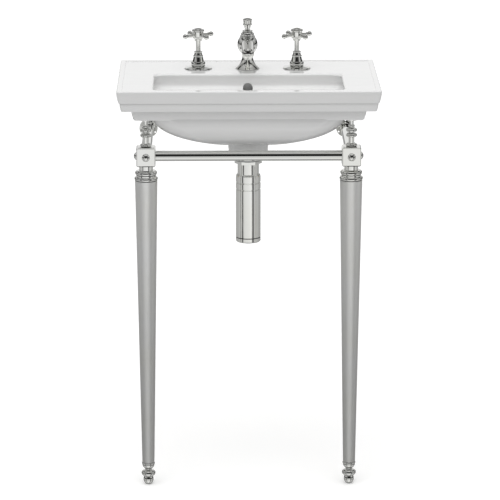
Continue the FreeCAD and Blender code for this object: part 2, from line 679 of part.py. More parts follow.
def make_waste_rim_seal():
    """The washer between the flange and the ceramic."""
    return pipe(WASTE_FLANGE_RADIUS - SLACK, OUTLET_BORE_RADIUS, at(0, OUTLET_Y, SEAT_FLOOR),
                at(0, OUTLET_Y, SEAT_FLOOR + WASTE_SEAL_THICKNESS))


def make_waste_under_seal():
    """The tapered rubber washer under the outlet boss."""
    low = BOSS_BOTTOM - UNDER_SEAL_THICKNESS
    seal = turned([(WASTE_NUT_RADIUS, low), (UNDER_SEAL_RADIUS, BOSS_BOTTOM)], at(0, OUTLET_Y, 0))
    return seal.cut(bar(WASTE_BODY_RADIUS, at(0, OUTLET_Y, low - SLACK),
                        at(0, OUTLET_Y, BOSS_BOTTOM + SLACK)))


def make_waste_backnut():
    """The nut that clamps the waste to the boss."""
    top = BOSS_BOTTOM - UNDER_SEAL_THICKNESS
    nut = hexagon(WASTE_NUT_RADIUS, at(0, OUTLET_Y, NUT_BOTTOM), WASTE_NUT_THICKNESS)
    return nut.cut(bar(WASTE_BODY_RADIUS, at(0, OUTLET_Y, NUT_BOTTOM - SLACK),
                       at(0, OUTLET_Y, top + SLACK)))


def make_popup_tee():
    """The tailpiece, with a port at the back for the pivot rod's ball."""
    tee = bar(TEE_RADIUS, at(0, OUTLET_Y, TEE_FLOOR), at(0, OUTLET_Y, NUT_BOTTOM))
    port = bar(TEE_PORT_RADIUS, at(0, OUTLET_Y, PIVOT_Z),
               at(0, OUTLET_Y + TEE_PORT_REACH, PIVOT_Z))
    tee = fused(tee, port)
    tools = [
        bar(WASTE_BORE_RADIUS, at(0, OUTLET_Y, TEE_FLOOR - SLACK),
            at(0, OUTLET_Y, NUT_BOTTOM + SLACK)),
        bar(WASTE_BODY_RADIUS + SPIGOT_CLEARANCE, at(0, OUTLET_Y, NUT_BOTTOM - TEE_SOCKET),
            at(0, OUTLET_Y, NUT_BOTTOM + SLACK)),
        bar(PIVOT_ROD_RADIUS + PORT_ROOM, at(0, OUTLET_Y, PIVOT_Z), at(0, PIVOT_Y, PIVOT_Z)),
        bar(BALL_RADIUS + RUNNING_FIT, at(0, PIVOT_Y - BALL_RADIUS, PIVOT_Z),
            at(0, OUTLET_Y + TEE_PORT_REACH + SLACK, PIVOT_Z))]
    for tool in tools:
        tee = tee.cut(tool)
    return tee


def make_pivot_nut():
    """The cap that keeps the ball in its port and leaves the rod room to swing."""
    face = OUTLET_Y + TEE_PORT_REACH
    nut = bar(PIVOT_NUT_RADIUS, at(0, face + PIVOT_NUT_WALL - PIVOT_NUT_THICKNESS, PIVOT_Z),
              at(0, face + PIVOT_NUT_WALL, PIVOT_Z))
    nut = nut.cut(bar(TEE_PORT_RADIUS, at(0, face - PIVOT_NUT_THICKNESS, PIVOT_Z),
                      at(0, face, PIVOT_Z)))
    return nut.cut(bar(PIVOT_ROD_RADIUS + PORT_ROOM, at(0, face - SLACK, PIVOT_Z),
                       at(0, face + PIVOT_NUT_WALL + SLACK, PIVOT_Z)))


def make_pivot_rod():
    """A straight rod through a ball, tilted down towards the lift strap."""
    outwards = at(0, math.cos(TILT), -math.sin(TILT))
    pivot = at(0, PIVOT_Y, PIVOT_Z)
    inner = PIVOT_OFFSET / math.cos(TILT) + PIVOT_ROD_INNER_SPARE
    outer = (TAP_Y - PIVOT_Y) / math.cos(TILT) + PIVOT_ROD_OUTER_SPARE
    rod = bar(PIVOT_ROD_RADIUS, pivot - outwards * inner, pivot + outwards * outer)
    return fused(Part.makeSphere(BALL_RADIUS, pivot), rod)


def plug_head_bottom():
    """Height of the open plug head's underside."""
    return WASTE_TOP + PLUG_SEAT_GAP + PLUG_SEAL_THICKNESS + PLUG_LIFT


def make_waste_plug():
    """The pop-up plug: a crowned head, guide fins, a stem and an eye for the pivot rod."""
    under = plug_head_bottom()
    edge = under + PLUG_HEAD_THICKNESS
    head = turned([(PLUG_RADIUS - PLUG_EDGE_ROUND, under), (PLUG_RADIUS, under + PLUG_EDGE_ROUND),
                   (PLUG_RADIUS, edge - PLUG_EDGE_ROUND), (PLUG_RADIUS - PLUG_EDGE_ROUND, edge)]
                  + dome_steps(PLUG_RADIUS - PLUG_EDGE_ROUND, edge, PLUG_CROWN),
                  at(0, OUTLET_Y, 0))
    half = PLUG_FIN_THICKNESS / 2
    low = under - PLUG_FIN_LENGTH
    fins = [block(-PLUG_FIN_RADIUS, PLUG_FIN_RADIUS, OUTLET_Y - half, OUTLET_Y + half, low, under),
            block(-half, half, OUTLET_Y - PLUG_FIN_RADIUS, OUTLET_Y + PLUG_FIN_RADIUS, low, under)]
    eye_z = PIVOT_Z + PIVOT_OFFSET * math.tan(TILT)
    stem = bar(PLUG_STEM_RADIUS, at(0, OUTLET_Y, eye_z + PLUG_EYE_RADIUS - SLACK),
               at(0, OUTLET_Y, under))
    eye = bar(PLUG_EYE_RADIUS, at(0, OUTLET_Y - PLUG_EYE_THICKNESS / 2, eye_z),
              at(0, OUTLET_Y + PLUG_EYE_THICKNESS / 2, eye_z))
    plug = fused(head, stem, eye, *fins)
    return plug.cut(bar(PIVOT_ROD_RADIUS + EYE_CLEARANCE, at(0, OUTLET_Y - PLUG_EYE_RADIUS, eye_z),
                        at(0, OUTLET_Y + PLUG_EYE_RADIUS, eye_z)))


def make_plug_seal():
    """The rubber ring under the plug's head."""
    top = plug_head_bottom()
    return pipe(PLUG_SEAL_RADIUS, PLUG_FIN_RADIUS + SPIGOT_CLEARANCE,
                at(0, OUTLET_Y, top - PLUG_SEAL_THICKNESS), at(0, OUTLET_Y, top))


def make_lift_rod():
    """The straight rod from the knob down to the strap's clamp."""
    return bar(LIFT_ROD_RADIUS, at(0, TAP_Y, RIM_HEIGHT - LIFT_ROD_BOTTOM),
               at(0, TAP_Y, KNOB_BOTTOM + KNOB_HEIGHT / 2))


def make_lift_knob():
    """The knob on the spout: a drum on a tapered neck."""
    drum = KNOB_BOTTOM + KNOB_TAPER_HEIGHT
    top = KNOB_BOTTOM + KNOB_HEIGHT
    knob = turned([(KNOB_NECK_RADIUS, KNOB_BOTTOM),
                   (KNOB_NECK_RADIUS + KNOB_FLARE / 4, KNOB_BOTTOM + KNOB_TAPER_HEIGHT / 2,
                    KNOB_RADIUS - KNOB_EDGE, drum)]
                  + ring_steps(KNOB_RADIUS, drum, drum + KNOB_EDGE * 2)
                  + [(KNOB_RADIUS - KNOB_EDGE, drum + KNOB_EDGE * 2),
                     (KNOB_RADIUS - KNOB_EDGE / 2, top - KNOB_EDGE * 2)]
                  + ring_steps(KNOB_RADIUS, top - KNOB_EDGE * 2, top)
                  + dome_steps(KNOB_RADIUS - RING_ROUNDNESS * KNOB_EDGE, top, KNOB_CROWN),
                  at(0, TAP_Y, 0))
    return knob.cut(bar(LIFT_ROD_RADIUS, at(0, TAP_Y, KNOB_BOTTOM - SLACK),
                        at(0, TAP_Y, KNOB_BOTTOM + KNOB_HEIGHT / 2)))


def make_lift_strap():
    """The perforated strap and the clamp that grips the lift rod."""
    half = STRAP_WIDTH / 2
    low = RIM_HEIGHT - CLAMP_BOTTOM
    high = low + CLAMP_HEIGHT
    clamp = block(-half, half, TAP_Y - CLAMP_DEPTH / 2, TAP_Y + CLAMP_DEPTH / 2, low, high)
    hole_z = PIVOT_Z - (TAP_Y - PIVOT_Y) * math.tan(TILT)
    strap = block(-half, half, TAP_Y - STRAP_THICKNESS / 2, TAP_Y + STRAP_THICKNESS / 2,
                  hole_z - half, low + SLACK)
    strap = fused(clamp, strap)
    strap = strap.cut(bar(LIFT_ROD_RADIUS + SPIGOT_CLEARANCE,
                          at(0, TAP_Y, RIM_HEIGHT - LIFT_ROD_BOTTOM), at(0, TAP_Y, high + SLACK)))
    for k in range(STRAP_HOLES):
        z = hole_z + k * STRAP_HOLE_PITCH
        strap = strap.cut(bar(PIVOT_ROD_RADIUS + EYE_CLEARANCE, at(0, TAP_Y - half, z),
                              at(0, TAP_Y + half, z)))
    return strap.cut(bar(STRAP_SCREW_RADIUS, at(0, TAP_Y, low + CLAMP_HEIGHT / 2),
                         at(0, TAP_Y + CLAMP_DEPTH, low + CLAMP_HEIGHT / 2)))


def make_strap_screw():
    """The thumbscrew that pinches the lift rod."""
    z = RIM_HEIGHT - CLAMP_BOTTOM + CLAMP_HEIGHT / 2
    face = TAP_Y + CLAMP_DEPTH / 2
    screw = fused(bar(STRAP_SCREW_RADIUS, at(0, TAP_Y + LIFT_ROD_RADIUS + SPIGOT_CLEARANCE, z),
                      at(0, face + SLACK, z)),
                  bar(STRAP_SCREW_HEAD_RADIUS, at(0, face, z),
                      at(0, face + STRAP_SCREW_HEAD_LENGTH, z)))
    return screw


# ---- Bottle trap ------------------------------------------------------------------------------
def make_trap_inlet_nut():
    """The upper nut, with a rounded shoulder, that clamps the trap to the tailpiece."""
    low = TEE_FLOOR - TRAP_SHOULDER_HEIGHT - TRAP_NUT_HEIGHT
    shoulder = TEE_FLOOR - TRAP_SHOULDER_HEIGHT
    inner = TRAP_RADIUS - TRAP_GROOVE_DEPTH
    nut = turned([(inner, low), (inner, low + TRAP_GROOVE_HEIGHT / 2),
                  (TRAP_RADIUS, low + TRAP_GROOVE_HEIGHT),
                  (TRAP_RADIUS, shoulder - TRAP_GROOVE_HEIGHT / 2),
                  (inner, shoulder), (inner, shoulder + TRAP_GROOVE_HEIGHT / 2),
                  (inner + (TEE_RADIUS - inner) * EASE,
                   TEE_FLOOR - (TRAP_SHOULDER_HEIGHT - TRAP_GROOVE_HEIGHT / 2) * EASE,
                   TEE_RADIUS, TEE_FLOOR)], at(0, OUTLET_Y, 0))
    return nut.cut(bar(DIP_TUBE_RADIUS, at(0, OUTLET_Y, low - SLACK),
                       at(0, OUTLET_Y, TEE_FLOOR + SLACK)))


def make_trap_union_nut():
    """The lower nut, which holds the dip tube's collar on the trap's body."""
    low = TRAP_BODY_TOP
    high = low + TRAP_NUT_HEIGHT
    inner = TRAP_RADIUS - TRAP_GROOVE_DEPTH
    nut = turned([(inner, low), (inner, low + TRAP_GROOVE_HEIGHT / 2),
                  (TRAP_RADIUS, low + TRAP_GROOVE_HEIGHT),
                  (TRAP_RADIUS, high - TRAP_GROOVE_HEIGHT),
                  (inner, high - TRAP_GROOVE_HEIGHT / 2), (inner, high)], at(0, OUTLET_Y, 0))
    return nut.cut(bar(DIP_TUBE_RADIUS, at(0, OUTLET_Y, low - SLACK), at(0, OUTLET_Y, high + SLACK)))


def make_trap_body():
    """The trap's barrel, with its outlet port towards the wall."""
    inner = TRAP_RADIUS - TRAP_GROOVE_DEPTH
    body = turned([(TRAP_RADIUS, TRAP_BODY_BOTTOM), (TRAP_RADIUS, TRAP_BODY_TOP - TRAP_GROOVE_HEIGHT),
                   (inner, TRAP_BODY_TOP - TRAP_GROOVE_HEIGHT / 2), (inner, TRAP_BODY_TOP)],
                  at(0, OUTLET_Y, 0))
    port = bar(OUTLET_PORT_RADIUS, at(0, OUTLET_Y, OUTLET_Z),
               at(0, OUTLET_Y + OUTLET_PORT_REACH, OUTLET_Z))
    body = fused(body, port)
    body = body.cut(bar(TRAP_RADIUS - TRAP_WALL, at(0, OUTLET_Y, TRAP_BODY_BOTTOM - SLACK),
                        at(0, OUTLET_Y, TRAP_BODY_TOP - TRAP_NUT_FLOOR)))
    body = body.cut(bar(DIP_TUBE_RADIUS + SPIGOT_CLEARANCE, at(0, OUTLET_Y, TRAP_BODY_BOTTOM),
                        at(0, OUTLET_Y, TRAP_BODY_TOP + SLACK)))
    return body.cut(bar(OUTLET_PIPE_RADIUS + SPIGOT_CLEARANCE, at(0, OUTLET_Y, OUTLET_Z),
                        at(0, OUTLET_Y + OUTLET_PORT_REACH + SLACK, OUTLET_Z)))


def make_dip_tube():
    """The inlet tube, which ends under water near the trap's foot."""
    top = TEE_FLOOR
    low = TRAP_BODY_BOTTOM + TRAP_CAP_PLUG + DIP_TUBE_GAP
    return pipe(DIP_TUBE_RADIUS, DIP_TUBE_RADIUS - DIP_TUBE_WALL, at(0, OUTLET_Y, low),
                at(0, OUTLET_Y, top))


def make_trap_cap():
    """The cleaning cap, which screws into the body's foot."""
    low = TRAP_BODY_BOTTOM - TRAP_SEAL_THICKNESS - TRAP_CAP_HEIGHT
    face = TRAP_BODY_BOTTOM - TRAP_SEAL_THICKNESS
    plug = TRAP_RADIUS - TRAP_WALL - SPIGOT_CLEARANCE
    cap = turned([(TRAP_RADIUS - TRAP_CAP_CHAMFER, low), (TRAP_RADIUS, low + TRAP_CAP_CHAMFER),
                  (TRAP_RADIUS, face), (plug, face), (plug, TRAP_BODY_BOTTOM + TRAP_CAP_PLUG)],
                 at(0, OUTLET_Y, 0))
    return cap.cut(bar(plug - TRAP_WALL, at(0, OUTLET_Y, low + TRAP_CAP_FLOOR),
                       at(0, OUTLET_Y, TRAP_BODY_BOTTOM + TRAP_CAP_PLUG + SLACK)))


def make_trap_seal():
    """The rubber ring between the cap and the body."""
    return pipe(TRAP_RADIUS - TRAP_GROOVE_DEPTH / 2, TRAP_RADIUS - TRAP_WALL,
                at(0, OUTLET_Y, TRAP_BODY_BOTTOM - TRAP_SEAL_THICKNESS),
                at(0, OUTLET_Y, TRAP_BODY_BOTTOM))


def make_outlet_pipe():
    """The straight waste pipe from the trap's port to the wall."""
    start = OUTLET_Y + TRAP_RADIUS
    return pipe(OUTLET_PIPE_RADIUS, OUTLET_PIPE_RADIUS - OUTLET_PIPE_WALL,
                at(0, start, OUTLET_Z), at(0, WALL, OUTLET_Z))


def make_outlet_nut():
    """The nut that clamps the waste pipe in the trap's port."""
    face = OUTLET_Y + OUTLET_PORT_REACH
    start = face - OUTLET_NUT_LENGTH / 2
    nut = turned([(OUTLET_NUT_RADIUS, 0),
                  (OUTLET_NUT_RADIUS, OUTLET_NUT_LENGTH - OUTLET_NUT_TAPER),
                  (OUTLET_NUT_RADIUS - TRAP_CAP_CHAMFER, OUTLET_NUT_LENGTH)],
                 at(0, start, OUTLET_Z), Y_AXIS)
    nut = nut.cut(bar(OUTLET_PORT_RADIUS, at(0, start - SLACK, OUTLET_Z), at(0, face, OUTLET_Z)))
    return nut.cut(bar(OUTLET_PIPE_RADIUS, at(0, start, OUTLET_Z),
                       at(0, start + OUTLET_NUT_LENGTH + SLACK, OUTLET_Z)))


def make_escutcheon():
    """The domed cover where the waste pipe enters the wall."""
    lip = OUTLET_PIPE_RADIUS + FLANGE_EDGE
    cover = turned([(ESCUTCHEON_RADIUS, 0), (ESCUTCHEON_RADIUS, FLANGE_EDGE),
                    (ESCUTCHEON_RADIUS - (ESCUTCHEON_RADIUS - lip) * EASE,
                     ESCUTCHEON_DEPTH - (ESCUTCHEON_DEPTH - FLANGE_EDGE) * EASE,
                     lip, ESCUTCHEON_DEPTH)], at(0, WALL, OUTLET_Z), at(0, -1, 0))
    return cover.cut(bar(OUTLET_PIPE_RADIUS, at(0, WALL - ESCUTCHEON_DEPTH - SLACK, OUTLET_Z),
                         at(0, WALL + SLACK, OUTLET_Z)))


# ---- Tap handles and valves -------------------------------------------------------------------
def make_flange(x):
    """The thin dished disc on the deck."""
    flange = turned([(FLANGE_RADIUS - FLANGE_EDGE / 2, 0), (FLANGE_RADIUS, FLANGE_EDGE / 2),
                     (FLANGE_RADIUS - FLANGE_EDGE / 2, FLANGE_EDGE),
                     (FLANGE_COLLAR_RADIUS, FLANGE_HEIGHT)], at(x, TAP_Y, DECK_TOP))
    flange = flange.cut(bar(VALVE_SHANK_RADIUS, at(x, TAP_Y, DECK_TOP - SLACK),
                            at(x, TAP_Y, DECK_TOP + VALVE_SHANK_TOP)))
    return flange.cut(bar(BELL_BORE_RADIUS, at(x, TAP_Y, DECK_TOP),
                          at(x, TAP_Y, DECK_TOP + FLANGE_HEIGHT + SLACK)))


def make_bell(x):
    """The turned bell over the valve's head: a deep foot ring, a waist bead and a top ring."""
    low = FLANGE_HEIGHT
    foot = low + BELL_FOOT_HEIGHT
    top = low + BELL_HEIGHT
    bead_low = foot + (top - foot) * BELL_BEAD_SHARE
    bead_high = bead_low + BELL_BEAD_HEIGHT
    ring = top - BELL_BEAD_HEIGHT
    slope = (BELL_WAIST_RADIUS - BELL_TOP_RADIUS) / (ring - foot)
    bell = turned([(BELL_WAIST_RADIUS + BELL_BEAD, low),
                   (BELL_BOTTOM_RADIUS, (low + foot) / 2, BELL_WAIST_RADIUS + BELL_BEAD, foot),
                   (BELL_WAIST_RADIUS, foot),
                   (BELL_WAIST_RADIUS - slope * (bead_low - foot), bead_low)]
                  + ring_steps(BELL_WAIST_RADIUS - slope * (bead_low - foot) + BELL_BEAD,
                               bead_low, bead_high)
                  + [(BELL_WAIST_RADIUS - slope * (bead_high - foot), bead_high),
                     (BELL_TOP_RADIUS, ring)]
                  + ring_steps(BELL_TOP_RADIUS + BELL_BEAD, ring, top), at(x, TAP_Y, DECK_TOP))
    core = top - BELL_LIP
    room = turned([(BELL_BORE_RADIUS, low - SLACK), (BELL_BORE_RADIUS, foot),
                   (BELL_TOP_RADIUS - BELL_WALL, core)], at(x, TAP_Y, DECK_TOP))
    bell = bell.cut(room)
    return bell.cut(bar(SPINDLE_RADIUS + SPINDLE_CLEARANCE, at(x, TAP_Y, DECK_TOP + low),
                        at(x, TAP_Y, DECK_TOP + top + SLACK)))


def make_valve(x, side):
    """The valve body through the deck, with its link socket and its threaded tail."""
    top = DECK_TOP + VALVE_SHANK_TOP
    bottom = RIM_HEIGHT - VALVE_BOTTOM
    tail = RIM_HEIGHT - TAIL_BOTTOM
    link_z = RIM_HEIGHT - LINK_DEPTH
    valve = turned([(TAIL_RADIUS, tail), (TAIL_RADIUS, bottom), (VALVE_SHANK_RADIUS, bottom),
                    (VALVE_SHANK_RADIUS, top)], at(x, TAP_Y, 0))
    inner_x = x - side * VALVE_SHANK_RADIUS
    tools = [
        bar(VALVE_BORE_RADIUS, at(x, TAP_Y, top - VALVE_BORE_DEPTH), at(x, TAP_Y, top + SLACK)),
        bar(TAIL_BORE_RADIUS, at(x, TAP_Y, tail - SLACK), at(x, TAP_Y, bottom)),
        bar(SPINDLE_RADIUS, at(x, TAP_Y, tail), at(x, TAP_Y, top)),
        bar(LINK_RADIUS, at(inner_x - side * SLACK, TAP_Y, link_z),
            at(inner_x + side * LINK_SOCKET, TAP_Y, link_z)),
        bar(SPINDLE_RADIUS, at(inner_x, TAP_Y, link_z), at(x, TAP_Y, link_z))]
    for tool in tools:
        valve = valve.cut(tool)
    return valve


def make_cartridge(x):
    """The quarter-turn disc cartridge screwed into the valve."""
    low = DECK_TOP + VALVE_SHANK_TOP - VALVE_BORE_DEPTH
    seat = DECK_TOP + VALVE_SHANK_TOP
    top = low + CARTRIDGE_HEIGHT
    cartridge = turned([(VALVE_BORE_RADIUS, low), (VALVE_BORE_RADIUS, seat),
                        (SPINDLE_RADIUS + FLANGE_EDGE, seat), (SPINDLE_RADIUS + FLANGE_EDGE, top)],
                       at(x, TAP_Y, 0))
    nut = hexagon(CARTRIDGE_HEX_RADIUS, at(x, TAP_Y, seat), CARTRIDGE_HEX_HEIGHT)
    cartridge = fused(cartridge, nut)
    cartridge = cartridge.cut(bar(SPINDLE_TAIL_RADIUS + RUNNING_FIT,
                                  at(x, TAP_Y, top - SPINDLE_TAIL_LENGTH), at(x, TAP_Y, top + SLACK)))
    return cartridge.cut(bar(SPINDLE_TAIL_RADIUS / 2, at(x, TAP_Y, low - SLACK), at(x, TAP_Y, top)))


def make_spindle(x):
    """The spindle from the cartridge up into the handle."""
    seat = DECK_TOP + VALVE_SHANK_TOP - VALVE_BORE_DEPTH + CARTRIDGE_HEIGHT
    return turned([(SPINDLE_TAIL_RADIUS, seat - SPINDLE_TAIL_LENGTH + SPINDLE_CLEARANCE),
                   (SPINDLE_TAIL_RADIUS, seat + SPINDLE_CLEARANCE),
                   (SPINDLE_RADIUS, seat + SPINDLE_CLEARANCE),
                   (SPINDLE_RADIUS, DECK_TOP + HUB_BOTTOM + HUB_HEIGHT / 2)], at(x, TAP_Y, 0))


def make_handle(x):
    """The cross handle: a turned hub with four arms that end in balls."""
    low = HUB_BOTTOM
    high = HUB_BOTTOM + HUB_HEIGHT
    crown = high - HUB_CROWN_HEIGHT
    flare = low + HUB_COLLAR_HEIGHT
    hub = turned([(HUB_COLLAR_RADIUS, low), (HUB_COLLAR_RADIUS, flare),
                  (HUB_RADIUS - (HUB_RADIUS - HUB_COLLAR_RADIUS) * EASE,
                   flare + HUB_FLARE_HEIGHT * EASE, HUB_RADIUS, flare + HUB_FLARE_HEIGHT),
                  (HUB_RADIUS, crown)]
                 + ring_steps(HUB_CROWN_RADIUS, crown, high), at(x, TAP_Y, DECK_TOP))
    arms = []
    ring = ARM_REACH - ARM_BALL_RADIUS - ARM_RING_LENGTH
    for k in range(ARM_COUNT):
        angle = math.radians(ARM_ANGLE + FULL_TURN * k / ARM_COUNT)
        outwards = at(math.cos(angle), math.sin(angle), 0)
        arms.append(turned([(ARM_ROOT_RADIUS, 0), (ARM_TIP_RADIUS, ring)]
                           + ring_steps(ARM_RING_RADIUS, ring, ring + ARM_RING_LENGTH)
                           + [(ARM_TIP_RADIUS, ring + ARM_RING_LENGTH), (ARM_TIP_RADIUS, ARM_REACH)],
                           at(x, TAP_Y, DECK_TOP + ARM_LEVEL), outwards))
        arms.append(Part.makeSphere(ARM_BALL_RADIUS,
                                    at(x, TAP_Y, DECK_TOP + ARM_LEVEL) + outwards * ARM_REACH))
    handle = fused(hub, *arms)
    handle = handle.cut(bar(SPINDLE_RADIUS, at(x, TAP_Y, DECK_TOP + low - SLACK),
                            at(x, TAP_Y, DECK_TOP + low + HUB_HEIGHT / 2)))
    return handle.cut(bar(BUTTON_RADIUS, at(x, TAP_Y, DECK_TOP + high - BUTTON_SINK),
                          at(x, TAP_Y, DECK_TOP + high + SLACK)))


def make_button(x):
    """The plain domed button in the hub's top."""
    low = HUB_BOTTOM + HUB_HEIGHT - BUTTON_SINK
    edge = low + BUTTON_SINK
    return turned([(BUTTON_RADIUS, low), (BUTTON_RADIUS, edge)]
                  + dome_steps(BUTTON_RADIUS, edge, BUTTON_CROWN), at(x, TAP_Y, DECK_TOP))


def make_deck_washers():
    """The rubber washers under the deck, one to each tap hole."""
    washers = [pipe(DECK_WASHER_RADIUS, radius, at(x, TAP_Y, DECK_UNDERSIDE - DECK_WASHER_THICKNESS),
                    at(x, TAP_Y, DECK_UNDERSIDE)) for x, radius in deck_shanks()]
    return Part.makeCompound(washers)


def make_deck_nuts():
    """The backnuts under the washers, one to each tap hole."""
    top = DECK_UNDERSIDE - DECK_WASHER_THICKNESS
    nuts = []
    for x, radius in deck_shanks():
        nut = hexagon(DECK_NUT_RADIUS, at(x, TAP_Y, top - DECK_NUT_THICKNESS), DECK_NUT_THICKNESS)
        nuts.append(nut.cut(bar(radius, at(x, TAP_Y, top - DECK_NUT_THICKNESS - SLACK),
                                at(x, TAP_Y, top + SLACK))))
    return Part.makeCompound(nuts)


def deck_shanks():
    """Place and radius of each threaded shank through the deck."""
    return ((-TAP_X, VALVE_SHANK_RADIUS), (0, SHANK_RADIUS), (TAP_X, VALVE_SHANK_RADIUS))


def make_link_pipe(side):
    """The rigid pipe from one valve to the spout's tee."""
    z = RIM_HEIGHT - LINK_DEPTH
    start = side * (SPOUT_TEE_RADIUS - LINK_SOCKET)
    end = side * (TAP_X - VALVE_SHANK_RADIUS + LINK_SOCKET)
    return pipe(LINK_RADIUS, LINK_RADIUS - LINK_WALL, at(start, TAP_Y, z), at(end, TAP_Y, z))


# ---- Spout ------------------------------------------------------------------------------------
def nozzle_line():
    """The nozzle's axis: where it leaves the column, its direction and its length."""
    start = at(0, TAP_Y, DECK_TOP + NOZZLE_LEVEL)
    end = at(0, TAP_Y - NOZZLE_REACH, DECK_TOP + NOZZLE_LEVEL - NOZZLE_DROP)
    run = end - start
    return start, run.normalize(), math.hypot(NOZZLE_REACH, NOZZLE_DROP)


def make_spout():
    """The spout: a bell base, an urn, a crown and a straight nozzle towards the bowl."""
    ring_high = URN_SHOULDER_HEIGHT + URN_RING_HEIGHT
    crown_high = ring_high + URN_CROWN_HEIGHT
    column = turned([(SPOUT_BASE_RADIUS - SPOUT_BASE_LIP / 2, 0),
                     (SPOUT_BASE_RADIUS, SPOUT_BASE_LIP / 2),
                     (SPOUT_BASE_RADIUS - SPOUT_BASE_LIP / 2, SPOUT_BASE_LIP),
                     (SPOUT_BELL_RADIUS, SPOUT_BELL_HEIGHT, SPOUT_WAIST_RADIUS, SPOUT_WAIST_HEIGHT),
                     (URN_RADIUS, URN_CENTRE, URN_SHOULDER_RADIUS, URN_SHOULDER_HEIGHT)]
                    + ring_steps(URN_RING_RADIUS, URN_SHOULDER_HEIGHT, ring_high)
                    + [(URN_CROWN_RADIUS, ring_high),
                       (URN_CROWN_RADIUS, ring_high + URN_CROWN_HEIGHT / 2,
                        COLLAR_RADIUS - COLLAR_HEIGHT / 2, crown_high)]
                    + ring_steps(COLLAR_RADIUS, crown_high, crown_high + COLLAR_HEIGHT),
                    at(0, TAP_Y, DECK_TOP))
    shank = bar(SHANK_RADIUS, at(0, TAP_Y, RIM_HEIGHT - SHANK_BOTTOM), at(0, TAP_Y, DECK_TOP + SLACK))
    start, forward, length = nozzle_line()
    ring = length - NOZZLE_NOSE - NOZZLE_RING_LENGTH
    nozzle = turned([(NOZZLE_ROOT_RADIUS, 0), (NOZZLE_TIP_RADIUS, ring)]
                    + ring_steps(NOZZLE_RING_RADIUS, ring, ring + NOZZLE_RING_LENGTH)
                    + [(NOZZLE_TIP_RADIUS, length - NOZZLE_NOSE)]
                    + dome_steps(NOZZLE_TIP_RADIUS, length - NOZZLE_NOSE, NOZZLE_NOSE),
                    start, forward)
    spout = fused(column, shank, nozzle)
    mouth = aerator_top()
    tools = [
        bar(SHANK_BORE_RADIUS, at(0, TAP_Y, RIM_HEIGHT - SHANK_BOTTOM - SLACK),
            at(0, TAP_Y, DECK_TOP + URN_SHOULDER_HEIGHT)),
        bar(NOZZLE_BORE_RADIUS, start, start + forward * (length - AERATOR_SETBACK)),
        bar(AERATOR_RADIUS, mouth, mouth - at(0, 0, NOZZLE_ROOT_RADIUS)),
        bar(SLEEVE_RADIUS, at(0, TAP_Y, DECK_TOP), at(0, TAP_Y, KNOB_BOTTOM + SLACK))]
    for tool in tools:
        spout = spout.cut(tool)
    return spout


def aerator_top():
    """Where the aerator's barrel ends inside the nozzle."""
    start, forward, length = nozzle_line()
    return start + forward * (length - AERATOR_SETBACK) - at(0, 0, AERATOR_SINK)


def make_aerator():
    """The aerator, whose rim shows under the nozzle."""
    top = aerator_top()
    low = NOZZLE_TIP_RADIUS - AERATOR_SINK + AERATOR_SHOW
    return pipe(AERATOR_RADIUS, AERATOR_BORE_RADIUS, top - at(0, 0, low), top)


def make_rod_sleeve():
    """The tube that keeps the water off the lift rod."""
    return pipe(SLEEVE_RADIUS, SLEEVE_BORE_RADIUS, at(0, TAP_Y, RIM_HEIGHT - SPOUT_TEE_BOTTOM),
                at(0, TAP_Y, KNOB_BOTTOM - KNOB_GAP))


def make_spout_tee():
    """The tee on the spout's shank, which gathers both link pipes."""
    low = RIM_HEIGHT - SPOUT_TEE_BOTTOM
    shank_low = RIM_HEIGHT - SHANK_BOTTOM
    top = shank_low + LINK_SOCKET
    link_z = RIM_HEIGHT - LINK_DEPTH
    tee = bar(SPOUT_TEE_RADIUS, at(0, TAP_Y, low), at(0, TAP_Y, top))
    tools = [
        bar(SHANK_RADIUS, at(0, TAP_Y, shank_low), at(0, TAP_Y, top + SLACK)),
        bar(SHANK_BORE_RADIUS, at(0, TAP_Y, low + SPOUT_TEE_FLOOR), at(0, TAP_Y, top)),
        bar(SLEEVE_RADIUS, at(0, TAP_Y, low - SLACK), at(0, TAP_Y, top))]
    for side in (-1, 1):
        face = side * SPOUT_TEE_RADIUS
        tools.append(bar(LINK_RADIUS, at(face - side * LINK_SOCKET, TAP_Y, link_z),
                         at(face + side * SLACK, TAP_Y, link_z)))
    for tool in tools:
        tee = tee.cut(tool)
    return tee


# ---- Stand ------------------------------------------------------------------------------------
def make_corner_block(side):
    """A chamfered cube with pegs for the rails and sockets in its other faces."""
    x = side * LEG_X
    half = BLOCK_SIZE / 2
    centre = at(x, LEG_Y, BLOCK_Z)
    cube = block(x - half, x + half, LEG_Y - half, LEG_Y + half, BLOCK_BOTTOM, BLOCK_TOP)
    cube = cube.makeChamfer(BLOCK_CHAMFER, cube.Edges)
    peg = RAIL_RADIUS - RAIL_WALL - SPIGOT_CLEARANCE
    for direction in (at(-side, 0, 0), Y_AXIS):
        face = centre + direction * half
        cube = fused(cube, bar(peg, face - direction * SLACK, face + direction * SOCKET_DEPTH))
    sockets = ((Z_AXIS, SOCKET_RADIUS), (at(0, 0, -1), SOCKET_RADIUS),
               (at(side, 0, 0), CAP_SOCKET_RADIUS), (at(0, -1, 0), CAP_SOCKET_RADIUS))
    for direction, radius in sockets:
        face = centre + direction * half
        cube = cube.cut(bar(radius, face - direction * SOCKET_DEPTH, face + direction * SLACK))
    return cube


def make_cap_stud(side, direction):
    """A domed cap with a pin in a corner block's face."""
    face = at(side * LEG_X, LEG_Y, BLOCK_Z) + direction * (BLOCK_SIZE / 2)
    pin = CAP_SOCKET_RADIUS - SPIGOT_CLEARANCE
    return turned([(pin, SPIGOT_CLEARANCE - SOCKET_DEPTH), (pin, 0), (CAP_RADIUS, 0),
                   (CAP_RADIUS, CAP_FLANGE)]
                  + dome_steps(CAP_RADIUS, CAP_FLANGE, CAP_HEIGHT - CAP_FLANGE), face, direction)


